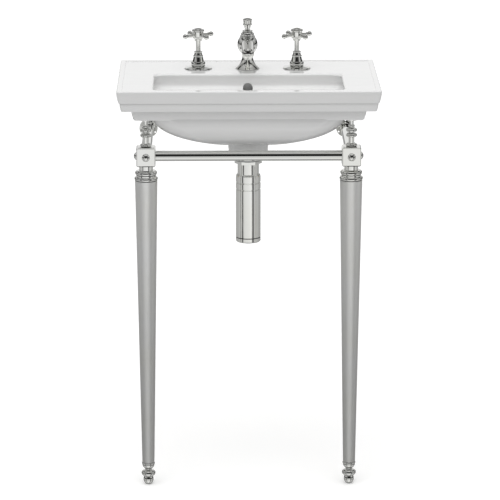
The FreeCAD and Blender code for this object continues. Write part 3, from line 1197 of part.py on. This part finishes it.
def make_cap_studs():
    """The four domed caps, on the front and the outer face of each block."""
    studs = []
    for name, side in SIDES:
        studs.append(make_cap_stud(side, at(0, -1, 0)))
        studs.append(make_cap_stud(side, at(side, 0, 0)))
    return Part.makeCompound(studs)


def make_front_rail():
    """The round rail between the corner blocks."""
    reach = LEG_X - BLOCK_SIZE / 2
    return pipe(RAIL_RADIUS, RAIL_RADIUS - RAIL_WALL, at(-reach, LEG_Y, BLOCK_Z),
                at(reach, LEG_Y, BLOCK_Z))


def make_side_rail(side):
    """The round rail from a corner block back to its wall flange."""
    x = side * LEG_X
    return pipe(RAIL_RADIUS, RAIL_RADIUS - RAIL_WALL, at(x, LEG_Y + BLOCK_SIZE / 2, BLOCK_Z),
                at(x, WALL - WALL_FLANGE_THICKNESS, BLOCK_Z))


def make_wall_flange(side):
    """The round flange that screws to the wall and holds the side rail's end."""
    place = at(side * LEG_X, WALL, BLOCK_Z)
    depth = WALL_FLANGE_THICKNESS + WALL_FLANGE_HUB_LENGTH
    flange = turned([(WALL_FLANGE_RADIUS, 0), (WALL_FLANGE_RADIUS, WALL_FLANGE_THICKNESS),
                     (WALL_FLANGE_HUB_RADIUS, WALL_FLANGE_THICKNESS),
                     (WALL_FLANGE_HUB_RADIUS, depth - FLANGE_EDGE),
                     (WALL_FLANGE_HUB_RADIUS - FLANGE_EDGE / 2, depth)], place, at(0, -1, 0))
    flange = flange.cut(bar(RAIL_RADIUS + SPIGOT_CLEARANCE, place - at(0, WALL_FLANGE_THICKNESS, 0),
                            place - at(0, depth + SLACK, 0)))
    for k in range(WALL_SCREW_COUNT):
        angle = math.radians(FULL_TURN * k / WALL_SCREW_COUNT) + math.pi / 2
        spot = place + at(math.cos(angle), 0, math.sin(angle)) * (WALL_SCREW_CIRCLE / 2)
        flange = flange.cut(bar(WALL_SCREW_HOLE_RADIUS, spot + at(0, SLACK, 0),
                                spot - at(0, WALL_FLANGE_THICKNESS + SLACK, 0)))
    return flange


def make_post(side):
    """The turned post between a corner block and the basin."""
    top = UNDERSIDE - POST_PAD_THICKNESS
    pin = SOCKET_RADIUS - SPIGOT_CLEARANCE
    base = BLOCK_TOP + POST_BASE_HEIGHT
    half = POST_BEAD_HEIGHT / 2
    lower = RIM_HEIGHT - POST_LOWER_BEAD_DEPTH
    upper = RIM_HEIGHT - POST_UPPER_BEAD_DEPTH
    bulb = RIM_HEIGHT - POST_BULB_DEPTH
    return turned([(pin, BLOCK_TOP - SOCKET_DEPTH + SPIGOT_CLEARANCE), (pin, BLOCK_TOP)]
                  + ring_steps(POST_BASE_RADIUS, BLOCK_TOP, base)
                  + [(POST_SHAFT_RADIUS, base), (POST_SHAFT_RADIUS, lower - half)]
                  + ring_steps(POST_BEAD_RADIUS, lower - half, lower + half)
                  + [(POST_NECK_RADIUS, lower + half), (POST_NECK_RADIUS, upper - half)]
                  + ring_steps(POST_BEAD_RADIUS, upper - half, upper + half)
                  + [(POST_NECK_RADIUS, upper + half),
                     (POST_NECK_RADIUS, bulb - POST_BULB_HEIGHT / 2),
                     (POST_BULB_RADIUS, bulb, POST_NECK_RADIUS, bulb + POST_BULB_HEIGHT / 2),
                     (POST_NECK_RADIUS, top - POST_TOP_THICKNESS),
                     (POST_TOP_RADIUS, top - POST_TOP_THICKNESS), (POST_TOP_RADIUS, top)],
                  at(side * LEG_X, LEG_Y, 0))


def make_post_pads():
    """The rubber pads between the posts and the ceramic."""
    pads = [bar(POST_PAD_RADIUS, at(side * LEG_X, LEG_Y, UNDERSIDE - POST_PAD_THICKNESS),
                at(side * LEG_X, LEG_Y, UNDERSIDE)) for name, side in SIDES]
    return Part.makeCompound(pads)


def tube_radius(z):
    """The tapered leg's outer radius at one height."""
    share = (z - LEG_TUBE_BOTTOM) / (LEG_TUBE_TOP - LEG_TUBE_BOTTOM)
    return LEG_BOTTOM_RADIUS + (LEG_TOP_RADIUS - LEG_BOTTOM_RADIUS) * share


def plug_radius(z):
    """The radius of what fits inside the leg's tube at one height."""
    return tube_radius(z) - LEG_TUBE_WALL - SPIGOT_CLEARANCE


def make_leg_collar(side):
    """The turned collar under a corner block, with two rings and a plug for the tube."""
    pin = SOCKET_RADIUS - SPIGOT_CLEARANCE
    ring_top = BLOCK_BOTTOM - LEG_NECK_HEIGHT
    ring_low = ring_top - LEG_UPPER_RING_HEIGHT
    waist_low = ring_low - LEG_WAIST_HEIGHT
    plug_low = LEG_TUBE_TOP - LEG_PLUG_LENGTH
    return turned([(plug_radius(plug_low), plug_low), (plug_radius(LEG_TUBE_TOP), LEG_TUBE_TOP)]
                  + ring_steps(LEG_LOWER_RING_RADIUS, LEG_TUBE_TOP, waist_low)
                  + [(LEG_WAIST_RADIUS, waist_low), (LEG_WAIST_RADIUS, ring_low)]
                  + ring_steps(LEG_UPPER_RING_RADIUS, ring_low, ring_top)
                  + [(LEG_NECK_RADIUS, ring_top), (LEG_NECK_RADIUS, BLOCK_BOTTOM),
                     (pin, BLOCK_BOTTOM), (pin, BLOCK_BOTTOM + SOCKET_DEPTH - SPIGOT_CLEARANCE)],
                  at(side * LEG_X, LEG_Y, 0))


def make_leg_tube(side):
    """The long tapered tube of a leg."""
    foot = at(side * LEG_X, LEG_Y, LEG_TUBE_BOTTOM)
    length = LEG_TUBE_TOP - LEG_TUBE_BOTTOM
    outside = Part.makeCone(LEG_BOTTOM_RADIUS, LEG_TOP_RADIUS, length, foot, Z_AXIS)
    inside = Part.makeCone(LEG_BOTTOM_RADIUS - LEG_TUBE_WALL, LEG_TOP_RADIUS - LEG_TUBE_WALL,
                           length, foot, Z_AXIS)
    return outside.cut(inside)


def make_leg_ferrule(side):
    """The ferrule in the tube's foot: a ring and a cup, bored for the levelling foot."""
    ring_low = LEG_TUBE_BOTTOM - FERRULE_RING_HEIGHT
    plug_high = LEG_TUBE_BOTTOM + LEG_PLUG_LENGTH
    cup = (ring_low + FERRULE_NECK_HEIGHT) / 2
    ferrule = turned([(FERRULE_NECK_RADIUS, FERRULE_NECK_HEIGHT),
                      ((FERRULE_NECK_RADIUS + FERRULE_RING_RADIUS) / 2 + SLACK, cup,
                       FERRULE_RING_RADIUS - SLACK, ring_low)]
                     + ring_steps(FERRULE_RING_RADIUS, ring_low, LEG_TUBE_BOTTOM)
                     + [(plug_radius(LEG_TUBE_BOTTOM), LEG_TUBE_BOTTOM),
                        (plug_radius(plug_high), plug_high)], at(side * LEG_X, LEG_Y, 0))
    return ferrule.cut(bar(FOOT_THREAD_RADIUS + RUNNING_FIT,
                           at(side * LEG_X, LEG_Y, FERRULE_NECK_HEIGHT - SLACK),
                           at(side * LEG_X, LEG_Y, plug_high + SLACK)))


def make_foot(side):
    """The turned levelling foot on its stud."""
    top = FERRULE_NECK_HEIGHT - FOOT_GAP
    lobe_low = FOOT_LOBE_CENTRE - FOOT_LOBE_HEIGHT / 2
    lobe_high = FOOT_LOBE_CENTRE + FOOT_LOBE_HEIGHT / 2
    return turned([(FOOT_BASE_RADIUS, 0),
                   (FOOT_BALL_RADIUS, FOOT_BALL_CENTRE, FOOT_WAIST_RADIUS, lobe_low - SLACK),
                   (FOOT_WAIST_RADIUS, lobe_low)]
                  + ring_steps(FOOT_LOBE_RADIUS, lobe_low, lobe_high)
                  + [(FOOT_NECK_RADIUS, lobe_high), (FOOT_NECK_RADIUS, top),
                     (FOOT_THREAD_RADIUS, top), (FOOT_THREAD_RADIUS, top + FOOT_THREAD_LENGTH)],
                  at(side * LEG_X, LEG_Y, 0))


def main():
    os.makedirs("parts", exist_ok=True)
    save("basin", make_basin())
    save("waste_body", make_waste_body())
    save("waste_rim_seal", make_waste_rim_seal())
    save("waste_under_seal", make_waste_under_seal())
    save("waste_backnut", make_waste_backnut())
    save("popup_tee", make_popup_tee())
    save("pivot_nut", make_pivot_nut())
    save("pivot_rod", make_pivot_rod())
    save("waste_plug", make_waste_plug())
    save("plug_seal", make_plug_seal())
    save("lift_rod", make_lift_rod())
    save("lift_knob", make_lift_knob())
    save("lift_strap", make_lift_strap())
    save("strap_screw", make_strap_screw())
    save("rod_sleeve", make_rod_sleeve())
    save("trap_inlet_nut", make_trap_inlet_nut())
    save("trap_union_nut", make_trap_union_nut())
    save("trap_body", make_trap_body())
    save("trap_dip_tube", make_dip_tube())
    save("trap_cap", make_trap_cap())
    save("trap_seal", make_trap_seal())
    save("outlet_pipe", make_outlet_pipe())
    save("outlet_nut", make_outlet_nut())
    save("outlet_escutcheon", make_escutcheon())
    save("spout_body", make_spout())
    save("spout_aerator", make_aerator())
    save("spout_tee", make_spout_tee())
    save("deck_washers", make_deck_washers())
    save("deck_backnuts", make_deck_nuts())
    for name, side in TAPS:
        x = side * TAP_X
        save(name + "_bell", make_bell(x))
        save(name + "_valve", make_valve(x, side))
        save(name + "_spindle", make_spindle(x))
        save(name + "_handle", make_handle(x))
        save(name + "_button", make_button(x))
    save("tap_flanges", Part.makeCompound([make_flange(x) for x in (-TAP_X, TAP_X)]))
    save("tap_cartridges", Part.makeCompound([make_cartridge(x) for x in (-TAP_X, TAP_X)]))
    save("link_pipes", Part.makeCompound([make_link_pipe(side) for side in (-1, 1)]))
    save("wall_flanges", Part.makeCompound([make_wall_flange(side) for side in (-1, 1)]))
    save("cap_studs", make_cap_studs())
    save("front_rail", make_front_rail())
    save("post_pads", make_post_pads())
    for name, side in SIDES:
        save("corner_block_" + name, make_corner_block(side))
        save("side_rail_" + name, make_side_rail(side))
        save("post_" + name, make_post(side))
        save("leg_collar_" + name, make_leg_collar(side))
        save("leg_tube_" + name, make_leg_tube(side))
        save("leg_ferrule_" + name, make_leg_ferrule(side))
        save("foot_" + name, make_foot(side))


main()
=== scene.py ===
import math

import bpy
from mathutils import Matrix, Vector


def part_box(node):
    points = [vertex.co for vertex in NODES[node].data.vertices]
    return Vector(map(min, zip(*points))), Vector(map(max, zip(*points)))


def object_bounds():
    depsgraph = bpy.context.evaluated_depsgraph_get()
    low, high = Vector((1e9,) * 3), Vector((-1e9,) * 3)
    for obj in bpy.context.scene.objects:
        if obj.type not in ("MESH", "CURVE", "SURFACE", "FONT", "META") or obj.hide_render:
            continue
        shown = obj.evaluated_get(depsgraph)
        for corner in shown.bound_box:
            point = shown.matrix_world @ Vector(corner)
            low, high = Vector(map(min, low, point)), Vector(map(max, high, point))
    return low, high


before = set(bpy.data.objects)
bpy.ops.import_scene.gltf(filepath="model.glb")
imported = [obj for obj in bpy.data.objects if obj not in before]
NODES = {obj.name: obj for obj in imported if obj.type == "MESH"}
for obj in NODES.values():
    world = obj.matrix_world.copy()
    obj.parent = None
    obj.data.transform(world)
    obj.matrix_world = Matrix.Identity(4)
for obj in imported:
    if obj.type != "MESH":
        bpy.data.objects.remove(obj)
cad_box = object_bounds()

SCENE = bpy.context.scene

# ---- colours -------------------------------------------------------------------------------

GLAZE_WHITE = (0.90, 0.90, 0.895)
GLAZE_SHADE = (0.875, 0.877, 0.873)
# grey of glaze pooled in corners, with painted shade there
GLAZE_POOLED_SHADE = (0.74, 0.755, 0.755)
GLAZE_PINHOLE = (0.62, 0.6, 0.56)
CLAY_PALE = (0.72, 0.69, 0.63)
CLAY_DARK = (0.60, 0.57, 0.51)
NICKEL = (0.87, 0.875, 0.86)
BRUSHED_NICKEL = (0.97, 0.975, 0.965)
STEEL = (0.60, 0.60, 0.59)
BRASS = (0.80, 0.62, 0.33)
COPPER = (0.78, 0.42, 0.27)
RUBBER_BLACK = (0.025, 0.025, 0.026)
RUBBER_DUST = (0.11, 0.11, 0.105)
FLOOR_PALE = (0.93, 0.93, 0.925)
FLOOR_SHADE = (0.90, 0.90, 0.895)
WHITE = (1, 1, 1)

# ---- materials -----------------------------------------------------------------------------


def scaled(colour, *factors):
    """The colour times one factor, or times one for each channel."""
    if len(factors) == 1:
        factors = factors * 3
    return tuple(part * factor for part, factor in zip(colour, factors))


class Shader:
    """A material's node tree, with short calls for the nodes that the finishes are made of."""

    CORNER_SAMPLES = 6

    def __init__(self, name, colour, metallic, roughness):
        self.material = bpy.data.materials.new(name)
        self.material.use_nodes = True
        self.material.diffuse_color = (*colour, 1)
        self.tree = self.material.node_tree
        self.surface = self.tree.nodes["Principled BSDF"]
        self.set("Base Color", (*colour, 1))
        self.set("Metallic", metallic)
        self.set("Roughness", roughness)
        self.place = self.add("ShaderNodeTexCoord").outputs["Object"]

    def add(self, kind, **settings):
        node = self.tree.nodes.new(kind)
        for key, value in settings.items():
            setattr(node, key, value)
        return node

    def join(self, source, target):
        self.tree.links.new(source, target)

    def set(self, socket, value):
        self.surface.inputs[socket].default_value = value

    def feed(self, socket, source):
        self.join(source, self.surface.inputs[socket])

    def stretched(self, scale):
        """The place on the object, in metres, stretched by a scale for each axis."""
        node = self.add("ShaderNodeMapping")
        node.inputs["Scale"].default_value = scale
        self.join(self.place, node.inputs["Vector"])
        return node.outputs["Vector"]

    def noise(self, scale, detail=4.0, roughness=0.55, stretch=(1, 1, 1)):
        node = self.add("ShaderNodeTexNoise")
        node.inputs["Scale"].default_value = scale
        node.inputs["Detail"].default_value = detail
        node.inputs["Roughness"].default_value = roughness
        self.join(self.stretched(stretch), node.inputs["Vector"])
        return node.outputs["Fac"]

    def spread(self, source, low, high, to_low=0.0, to_high=1.0, smooth=False):
        """source from low to high becomes a value from to_low to to_high, and stays within them."""
        node = self.add("ShaderNodeMapRange")
        node.interpolation_type = "SMOOTHSTEP" if smooth else "LINEAR"
        self.join(source, node.inputs["Value"])
        limits = {"From Min": low, "From Max": high, "To Min": to_low, "To Max": to_high}
        for key, value in limits.items():
            node.inputs[key].default_value = value
        return node.outputs["Result"]

    def math(self, operation, first, second=0.0, clamp=False):
        node = self.add("ShaderNodeMath", operation=operation, use_clamp=clamp)
        for socket, value in zip(node.inputs, (first, second)):
            if isinstance(value, (int, float)):
                socket.default_value = value
            else:
                self.join(value, socket)
        return node.outputs["Value"]

    def mix(self, factor, first, second):
        """A colour between two, each a colour or another node's output."""
        node = self.add("ShaderNodeMix", data_type="RGBA")
        factor_in, first_in, second_in = node.inputs[0], node.inputs[6], node.inputs[7]
        for socket, value in ((factor_in, factor), (first_in, first), (second_in, second)):
            if isinstance(value, tuple):
                socket.default_value = (*value, 1)
            else:
                self.join(value, socket)
        return node.outputs[2]

    def bump(self, height, distance, strength=1.0):
        node = self.add("ShaderNodeBump")
        node.inputs["Distance"].default_value = distance
        node.inputs["Strength"].default_value = strength
        self.join(height, node.inputs["Height"])
        return node.outputs["Normal"]

    def axis(self, letter):
        node = self.add("ShaderNodeSeparateXYZ")
        self.join(self.place, node.inputs["Vector"])
        return node.outputs[letter]

    def hollows(self, distance, low, high):
        """1 in corners and grooves narrower than the distance, 0 on open faces."""
        node = self.add("ShaderNodeAmbientOcclusion")
        node.samples = self.CORNER_SAMPLES
        node.inputs["Distance"].default_value = distance
        return self.spread(node.outputs["AO"], low, high, 1.0, 0.0, smooth=True)


BARE_START = 0.0012
BARE_END = 0.0002


def glazed_ceramic(name, wall_y):
    """White glaze over fired clay, bare and slightly rough on the face that meets the wall."""
    s = Shader(name, (0.86, 0.86, 0.85), metallic=0.0, roughness=0.1)
    s.set("IOR", 1.52)
    s.set("Coat Weight", 0.6)
    s.set("Coat Roughness", 0.03)
    s.set("Coat IOR", 1.5)
    cloud = s.noise(7.0, detail=5.0)
    glaze = s.mix(s.spread(cloud, 0.3, 0.7), GLAZE_WHITE, GLAZE_SHADE)
    # glaze pooled in corners and creases, and painted shade there: ambient occlusion greys the glaze
    pooled_glaze_and_shade = s.hollows(0.02, 0.35, 0.95)
    glaze = s.mix(s.math("MULTIPLY", pooled_glaze_and_shade, 0.14), glaze, GLAZE_POOLED_SHADE)
    pinholes = s.spread(s.noise(900.0, detail=1.0), 0.76, 0.82, to_high=0.5)
    glaze = s.mix(pinholes, glaze, GLAZE_PINHOLE)
    bare = s.spread(s.axis("Y"), wall_y - BARE_START, wall_y - BARE_END, smooth=True)
    clay = s.mix(s.noise(160.0, detail=6.0), CLAY_PALE, CLAY_DARK)
    s.feed("Base Color", s.mix(bare, glaze, clay))
    gloss = s.spread(s.noise(22.0, detail=3.0), 0.3, 0.7, to_low=0.06, to_high=0.13)
    s.feed("Roughness", s.math("ADD", gloss, s.math("MULTIPLY", bare, 0.6), clamp=True))
    ripple = s.noise(16.0, detail=2.0)
    grain = s.math("MULTIPLY", s.noise(420.0, detail=3.0), s.math("MULTIPLY", bare, 0.4))
    s.feed("Normal", s.bump(s.math("ADD", ripple, grain), 0.0009, strength=0.35))
    return s.material


def plated(name, colour, low, high, brushed=(1, 1, 1), along=0.0):
    """Polished plating on brass: faint smears, hairline scratches and painted shade in the grooves.
    Its roughness runs from low to high. Plating brushed along an upright axis spreads what it
    mirrors round that axis."""
    s = Shader(name, colour, metallic=1.0, roughness=low)
    warm = scaled(colour, 0.98, 0.975, 0.945)
    tone = s.mix(s.spread(s.noise(9.0, detail=3.0), 0.35, 0.7), colour, warm)
    # painted shade: ambient occlusion darkens the colour in grooves and corners
    groove_shade = s.math("MULTIPLY", s.hollows(0.006, 0.2, 0.75), 0.7)
    s.feed("Base Color", s.mix(groove_shade, tone, scaled(colour, 0.55)))
    smears = s.noise(38.0, detail=5.0, roughness=0.6, stretch=brushed)
    smears = s.spread(smears, 0.42, 0.72, to_low=low, to_high=high, smooth=True)
    specks = s.spread(s.noise(1100.0, detail=2.0), 0.66, 0.75, to_high=0.08)
    s.feed("Roughness", s.math("ADD", smears, specks, clamp=True))
    hairline = (brushed[0] * 6, brushed[1], brushed[2] * 0.25)
    hairs = s.noise(260.0, detail=2.0, roughness=0.5, stretch=hairline)
    waves = s.noise(45.0, detail=2.0)
    s.feed("Normal", s.bump(s.math("ADD", hairs, waves), 0.00006, strength=0.6))
    if along:
        s.set("Anisotropic", along)
        s.feed("Tangent", s.add("ShaderNodeTangent", direction_type="RADIAL", axis="Z").outputs["Tangent"])
    return s.material


def spun_metal(name, colour, roughness, line_scale):
    """Metal left as turned, with fine tool rings along its length and a dull film."""
    s = Shader(name, colour, metallic=1.0, roughness=roughness)
    film = s.spread(s.noise(55.0, detail=5.0), 0.35, 0.7)
    s.feed("Base Color", s.mix(s.math("MULTIPLY", film, 0.5), colour, scaled(colour, 0.6)))
    rings = s.noise(line_scale, detail=3.0, roughness=0.5, stretch=(0.04, 0.04, 1.0))
    s.feed("Roughness", s.spread(rings, 0.3, 0.7, roughness * 0.7, roughness * 1.4))
    s.feed("Normal", s.bump(rings, 0.00015, strength=0.7))
    return s.material


THREAD_PITCH = 0.001814
THREAD_DEPTH = 0.0011
THREAD_RUNOUT = 0.001


def threaded_brass(name, axis_x, axis_y, below):
    """Turned brass whose tail carries a screw thread, cut about an upright axis below a height."""
    s = Shader(name, BRASS, metallic=1.0, roughness=0.28)
    film = s.spread(s.noise(60.0, detail=5.0), 0.35, 0.7)
    x = s.math("SUBTRACT", s.axis("X"), axis_x)
    y = s.math("SUBTRACT", s.axis("Y"), axis_y)
    turn = s.math("DIVIDE", s.math("ARCTAN2", y, x), 2 * math.pi)
    climb = s.math("SUBTRACT", s.math("DIVIDE", s.axis("Z"), THREAD_PITCH), turn)
    ridge = s.math("PINGPONG", climb, 0.5)
    cut = s.spread(s.axis("Z"), below - THREAD_RUNOUT, below, to_low=1.0, to_high=0.0)
    depth = s.math("MULTIPLY", s.math("MULTIPLY", ridge, 2.0), cut)
    # painted shade: the colour darkens in the bottom of the thread's groove
    thread_shade = s.spread(depth, 0.0, 0.5, to_low=0.55, to_high=0.0)
    tone = s.mix(s.math("MULTIPLY", film, 0.45), BRASS, scaled(BRASS, 0.6))
    s.feed("Base Color", s.mix(s.math("MULTIPLY", thread_shade, cut), tone, scaled(BRASS, 0.3)))
    s.feed("Roughness", s.spread(film, 0.0, 1.0, to_low=0.2, to_high=0.42))
    s.feed("Normal", s.bump(depth, THREAD_DEPTH))
    return s.material


def moulded_rubber(name):
    """Black seal rubber with a dusty, slightly mottled skin."""
    s = Shader(name, (0.03, 0.03, 0.03), metallic=0.0, roughness=0.62)
    dust = s.spread(s.noise(120.0, detail=6.0), 0.45, 0.75)
    s.feed("Base Color", s.mix(s.math("MULTIPLY", dust, 0.35), RUBBER_BLACK, RUBBER_DUST))
    s.feed("Roughness", s.spread(dust, 0.0, 1.0, to_low=0.52, to_high=0.75))
    s.feed("Normal", s.bump(s.noise(700.0), 0.0002, strength=0.5))
    return s.material


def dress(material, *names):
    for name in names:
        for slot in NODES[name].material_slots:
            slot.material = material


def dress_part():
    """All nodes in nickel first, then what is made of something else."""
    ceramic = glazed_ceramic("white_glaze", wall_y=cad_box[1].y)
    nickel = plated("polished_nickel", NICKEL, 0.02, 0.06)
    leg_metal = plated("polished_leg", BRUSHED_NICKEL, 0.3, 0.36, brushed=(3, 3, 0.15), along=0.95)
    steel = spun_metal("turned_steel", STEEL, 0.24, line_scale=900.0)
    brass = spun_metal("turned_brass", BRASS, 0.26, line_scale=800.0)
    copper = spun_metal("drawn_copper", COPPER, 0.24, line_scale=160.0)
    rubber = moulded_rubber("seal_rubber")
    dress(nickel, *NODES)
    dress(ceramic, "basin")
    dress(leg_metal, "leg_tube_left", "leg_tube_right")
    dress(steel, "pivot_rod", "lift_strap", "strap_screw")
    dress(brass, "rod_sleeve", "trap_dip_tube", "spout_tee", "deck_backnuts", "tap_cartridges")
    dress(copper, "link_pipes")
    dress(rubber, "waste_rim_seal", "waste_under_seal", "plug_seal", "trap_seal", "deck_washers", "post_pads")
    tail_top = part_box("deck_backnuts")[0].z
    for valve in ("hot_valve", "cold_valve"):
        low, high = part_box(valve)
        middle = (low + high) / 2
        dress(threaded_brass(valve + "_brass", middle.x, middle.y, tail_top), valve)


# ---- floor -----------------------------------------------------------------------------------

FLOOR_RADIUS = 14.0
FLOOR_CORNERS = 96
FLOOR_GLOW = 0.22


def pale_floor():
    """A wide disc that the camera sees, with a faint glow of its own, and that no metal mirrors."""
    mesh = bpy.data.meshes.new("floor")
    turns = [2 * math.pi * i / FLOOR_CORNERS for i in range(FLOOR_CORNERS)]
    points = [(FLOOR_RADIUS * math.cos(turn), FLOOR_RADIUS * math.sin(turn), 0.0) for turn in turns]
    mesh.from_pydata(points, [], [tuple(range(FLOOR_CORNERS))])
    floor = bpy.data.objects.new("floor", mesh)
    SCENE.collection.objects.link(floor)
    s = Shader("pale_floor", (0.92, 0.92, 0.915), metallic=0.0, roughness=0.7)
    s.feed("Base Color", s.mix(s.noise(3.0), FLOOR_PALE, FLOOR_SHADE))
    s.feed("Roughness", s.spread(s.noise(25.0), 0.3, 0.7, to_low=0.6, to_high=0.8))
    s.set("Emission Color", (*WHITE, 1))
    s.set("Emission Strength", FLOOR_GLOW)
    mesh.materials.append(s.material)
    floor.visible_glossy = False
    floor.visible_diffuse = False


# ---- light -----------------------------------------------------------------------------------

SUN_DIRECTION = (0.08, 0.5, -1.0)
SUN_POWER = 1.25
SUN_SOFTNESS = math.radians(60)


def overhead_sun():
    """A wide soft light from above and in front, which metal doesn't mirror."""
    data = bpy.data.lights.new("overhead", "SUN")
    data.energy = SUN_POWER
    data.angle = SUN_SOFTNESS
    light = bpy.data.objects.new("overhead", data)
    light.rotation_euler = Vector(SUN_DIRECTION).to_track_quat("-Z", "Y").to_euler()
    light.visible_glossy = False
    SCENE.collection.objects.link(light)


class Room:
    """The node tree of the studio around the part, with short calls for what it is made of."""

    def __init__(self):
        world = bpy.data.worlds.new("studio")
        SCENE.world = world
        world.use_nodes = True
        self.tree = world.node_tree
        self.tree.nodes.remove(self.tree.nodes["Background"])
        split = self.tree.nodes.new("ShaderNodeSeparateXYZ")
        place = self.tree.nodes.new("ShaderNodeTexCoord")
        self.join(place.outputs["Generated"], split.inputs["Vector"])
        self.side, self.depth, self.height = split.outputs

    def join(self, source, target):
        self.tree.links.new(source, target)

    def math(self, operation, *values):
        node = self.tree.nodes.new("ShaderNodeMath")
        node.operation = operation
        for socket, value in zip(node.inputs, values):
            if isinstance(value, (int, float)):
                socket.default_value = value
            else:
                self.join(value, socket)
        return node.outputs["Value"]

    def ramp(self, source, stops):
        """A grey for each stop of the source, blended between them."""
        low, high = stops[0][0], stops[-1][0]
        node = self.tree.nodes.new("ShaderNodeValToRGB")
        share = self.math("DIVIDE", self.math("SUBTRACT", source, low), high - low)
        self.join(share, node.inputs["Fac"])
        while len(node.color_ramp.elements) < len(stops):
            node.color_ramp.elements.new(0.5)
        for element, (position, grey) in zip(node.color_ramp.elements, stops):
            element.position = (position - low) / (high - low)
            element.color = (grey, grey, grey, 1)
        return node.outputs["Color"]

    def glow(self, grey, strength=1.0):
        node = self.tree.nodes.new("ShaderNodeBackground")
        node.inputs["Strength"].default_value = strength
        if isinstance(grey, float):
            node.inputs["Color"].default_value = (grey, grey, grey, 1)
        else:
            self.join(grey, node.inputs["Color"])
        return node.outputs["Background"]

    def choose(self, ray, plain, chosen):
        """One glow for rays of a kind, another for the rest."""
        path = self.tree.nodes.new("ShaderNodeLightPath")
        node = self.tree.nodes.new("ShaderNodeMixShader")
        self.join(path.outputs[ray], node.inputs["Fac"])
        self.join(plain, node.inputs[1])
        self.join(chosen, node.inputs[2])
        return node.outputs["Shader"]


def in_radians(stops):
    return [(math.radians(angle), value) for angle, value in stops]


# grey of the room that metal mirrors, by the direction's height, from straight down (-1) to
# straight up (1): the same all round below eye level, and above it one belt in front of the part
# and another beside and behind it
LOW_GREYS = [(-1.0, 0.5), (-0.97, 0.55), (-0.93, 1.0), (-0.75, 0.9), (-0.5, 0.95), (-0.36, 0.46),
             (-0.3, 0.5), (-0.262, 0.9), (-0.225, 1.0), (-0.13, 1.0)]
FRONT_GREYS = LOW_GREYS + [(-0.05, 0.12), (0.08, 0.02), (0.40, 0.02), (0.62, 0.04), (0.76, 0.12),
                           (0.87, 0.85), (1.0, 1.0)]
SIDE_GREYS = LOW_GREYS + [(-0.07, 0.3), (0.0, 0.02), (0.14, 0.02), (0.2, 0.9), (0.5, 1.0), (0.56, 0.1),
                          (0.68, 0.06), (0.76, 0.9), (1.0, 1.0)]
# the share of the front's belt, by degrees from the front to either side
FRONT_SHARE = [(0.0, 1.0), (28.0, 1.0), (50.0, 0.0), (180.0, 0.0)]
# how much of that grey is left, by degrees from the front, left (-) and right (+) round to the
# back: the two narrow dark stops are the dark bands on the trap
TURN_GREYS = [(-180.0, 0.5), (-144.0, 0.42), (-110.0, 0.46), (-75.0, 0.56), (-61.0, 0.6), (-58.0, 0.05),
              (-50.0, 0.05), (-47.0, 0.68), (-30.0, 0.8), (0.0, 0.86), (22.0, 0.92), (32.0, 1.0),
              (36.0, 0.2), (54.0, 0.2), (60.0, 0.66), (78.0, 0.62), (110.0, 0.42), (144.0, 0.38),
              (180.0, 0.5)]
# the white wall behind the part, by how far the direction points to the back and by its height
WALL_GREYS = [(0.0, 0.0), (0.88, 0.0), (0.95, 0.8), (1.0, 0.85)]
WALL_RISE = [(-1.0, 0.0), (-0.08, 0.0), (0.02, 1.0), (1.0, 1.0)]
# grey of the even glow on dull surfaces, by height
GLOW_GREYS = [(-1.0, 1.0), (-0.5, 0.56), (-0.1, 0.16), (0.2, 0.1), (0.5, 0.42), (1.0, 0.64)]
GLOW_STRENGTH = 1.45
BACKGROUND_GREY = 0.97


def studio_room():
    """White to the camera, an even glow to dull surfaces, and to polished ones a pale floor, a
    dark belt from eye level up and a white wall behind."""
    room = Room()
    bearing = room.math("ARCTAN2", room.side, room.math("MULTIPLY", room.depth, -1.0))
    front = room.ramp(room.height, FRONT_GREYS)
    beside = room.ramp(room.height, SIDE_GREYS)
    share = room.ramp(room.math("ABSOLUTE", bearing), in_radians(FRONT_SHARE))
    belt = room.math("MULTIPLY_ADD", room.math("SUBTRACT", front, beside), share, beside)
    around = room.ramp(bearing, in_radians(TURN_GREYS))
    wall = room.math("MULTIPLY", room.ramp(room.depth, WALL_GREYS), room.ramp(room.height, WALL_RISE))
    mirrored = room.math("MAXIMUM", room.math("MULTIPLY", belt, around), wall)
    even = room.glow(room.ramp(room.height, GLOW_GREYS), GLOW_STRENGTH)
    shared = room.choose("Is Diffuse Ray", room.glow(mirrored), even)
    seen = room.choose("Is Camera Ray", shared, room.glow(BACKGROUND_GREY))
    room.join(seen, room.tree.nodes["World Output"].inputs["Surface"])


# ---- camera ----------------------------------------------------------------------------------

CAMERA_PLACE = (-0.082, -6.5, 2.080)
CAMERA_PITCH = math.radians(13.738)
CAMERA_YAW = math.radians(0.76)
FOCAL_PX = 3105.0
FRAME_PX = 500.0
SENSOR_WIDTH = 36.0


def place_camera():
    """The camera before the part, a little left of its middle, looking down at it."""
    data = bpy.data.cameras.new("camera")
    data.sensor_width = SENSOR_WIDTH
    data.lens = FOCAL_PX / FRAME_PX * SENSOR_WIDTH
    camera = bpy.data.objects.new("camera", data)
    camera.location = CAMERA_PLACE
    camera.rotation_euler = (math.pi / 2 - CAMERA_PITCH, 0, -CAMERA_YAW)
    SCENE.collection.objects.link(camera)
    SCENE.camera = camera
    SCENE.view_settings.view_transform = "Standard"


dress_part()
pale_floor()
studio_room()
overhead_sun()
place_camera()

bpy.context.view_layer.update()
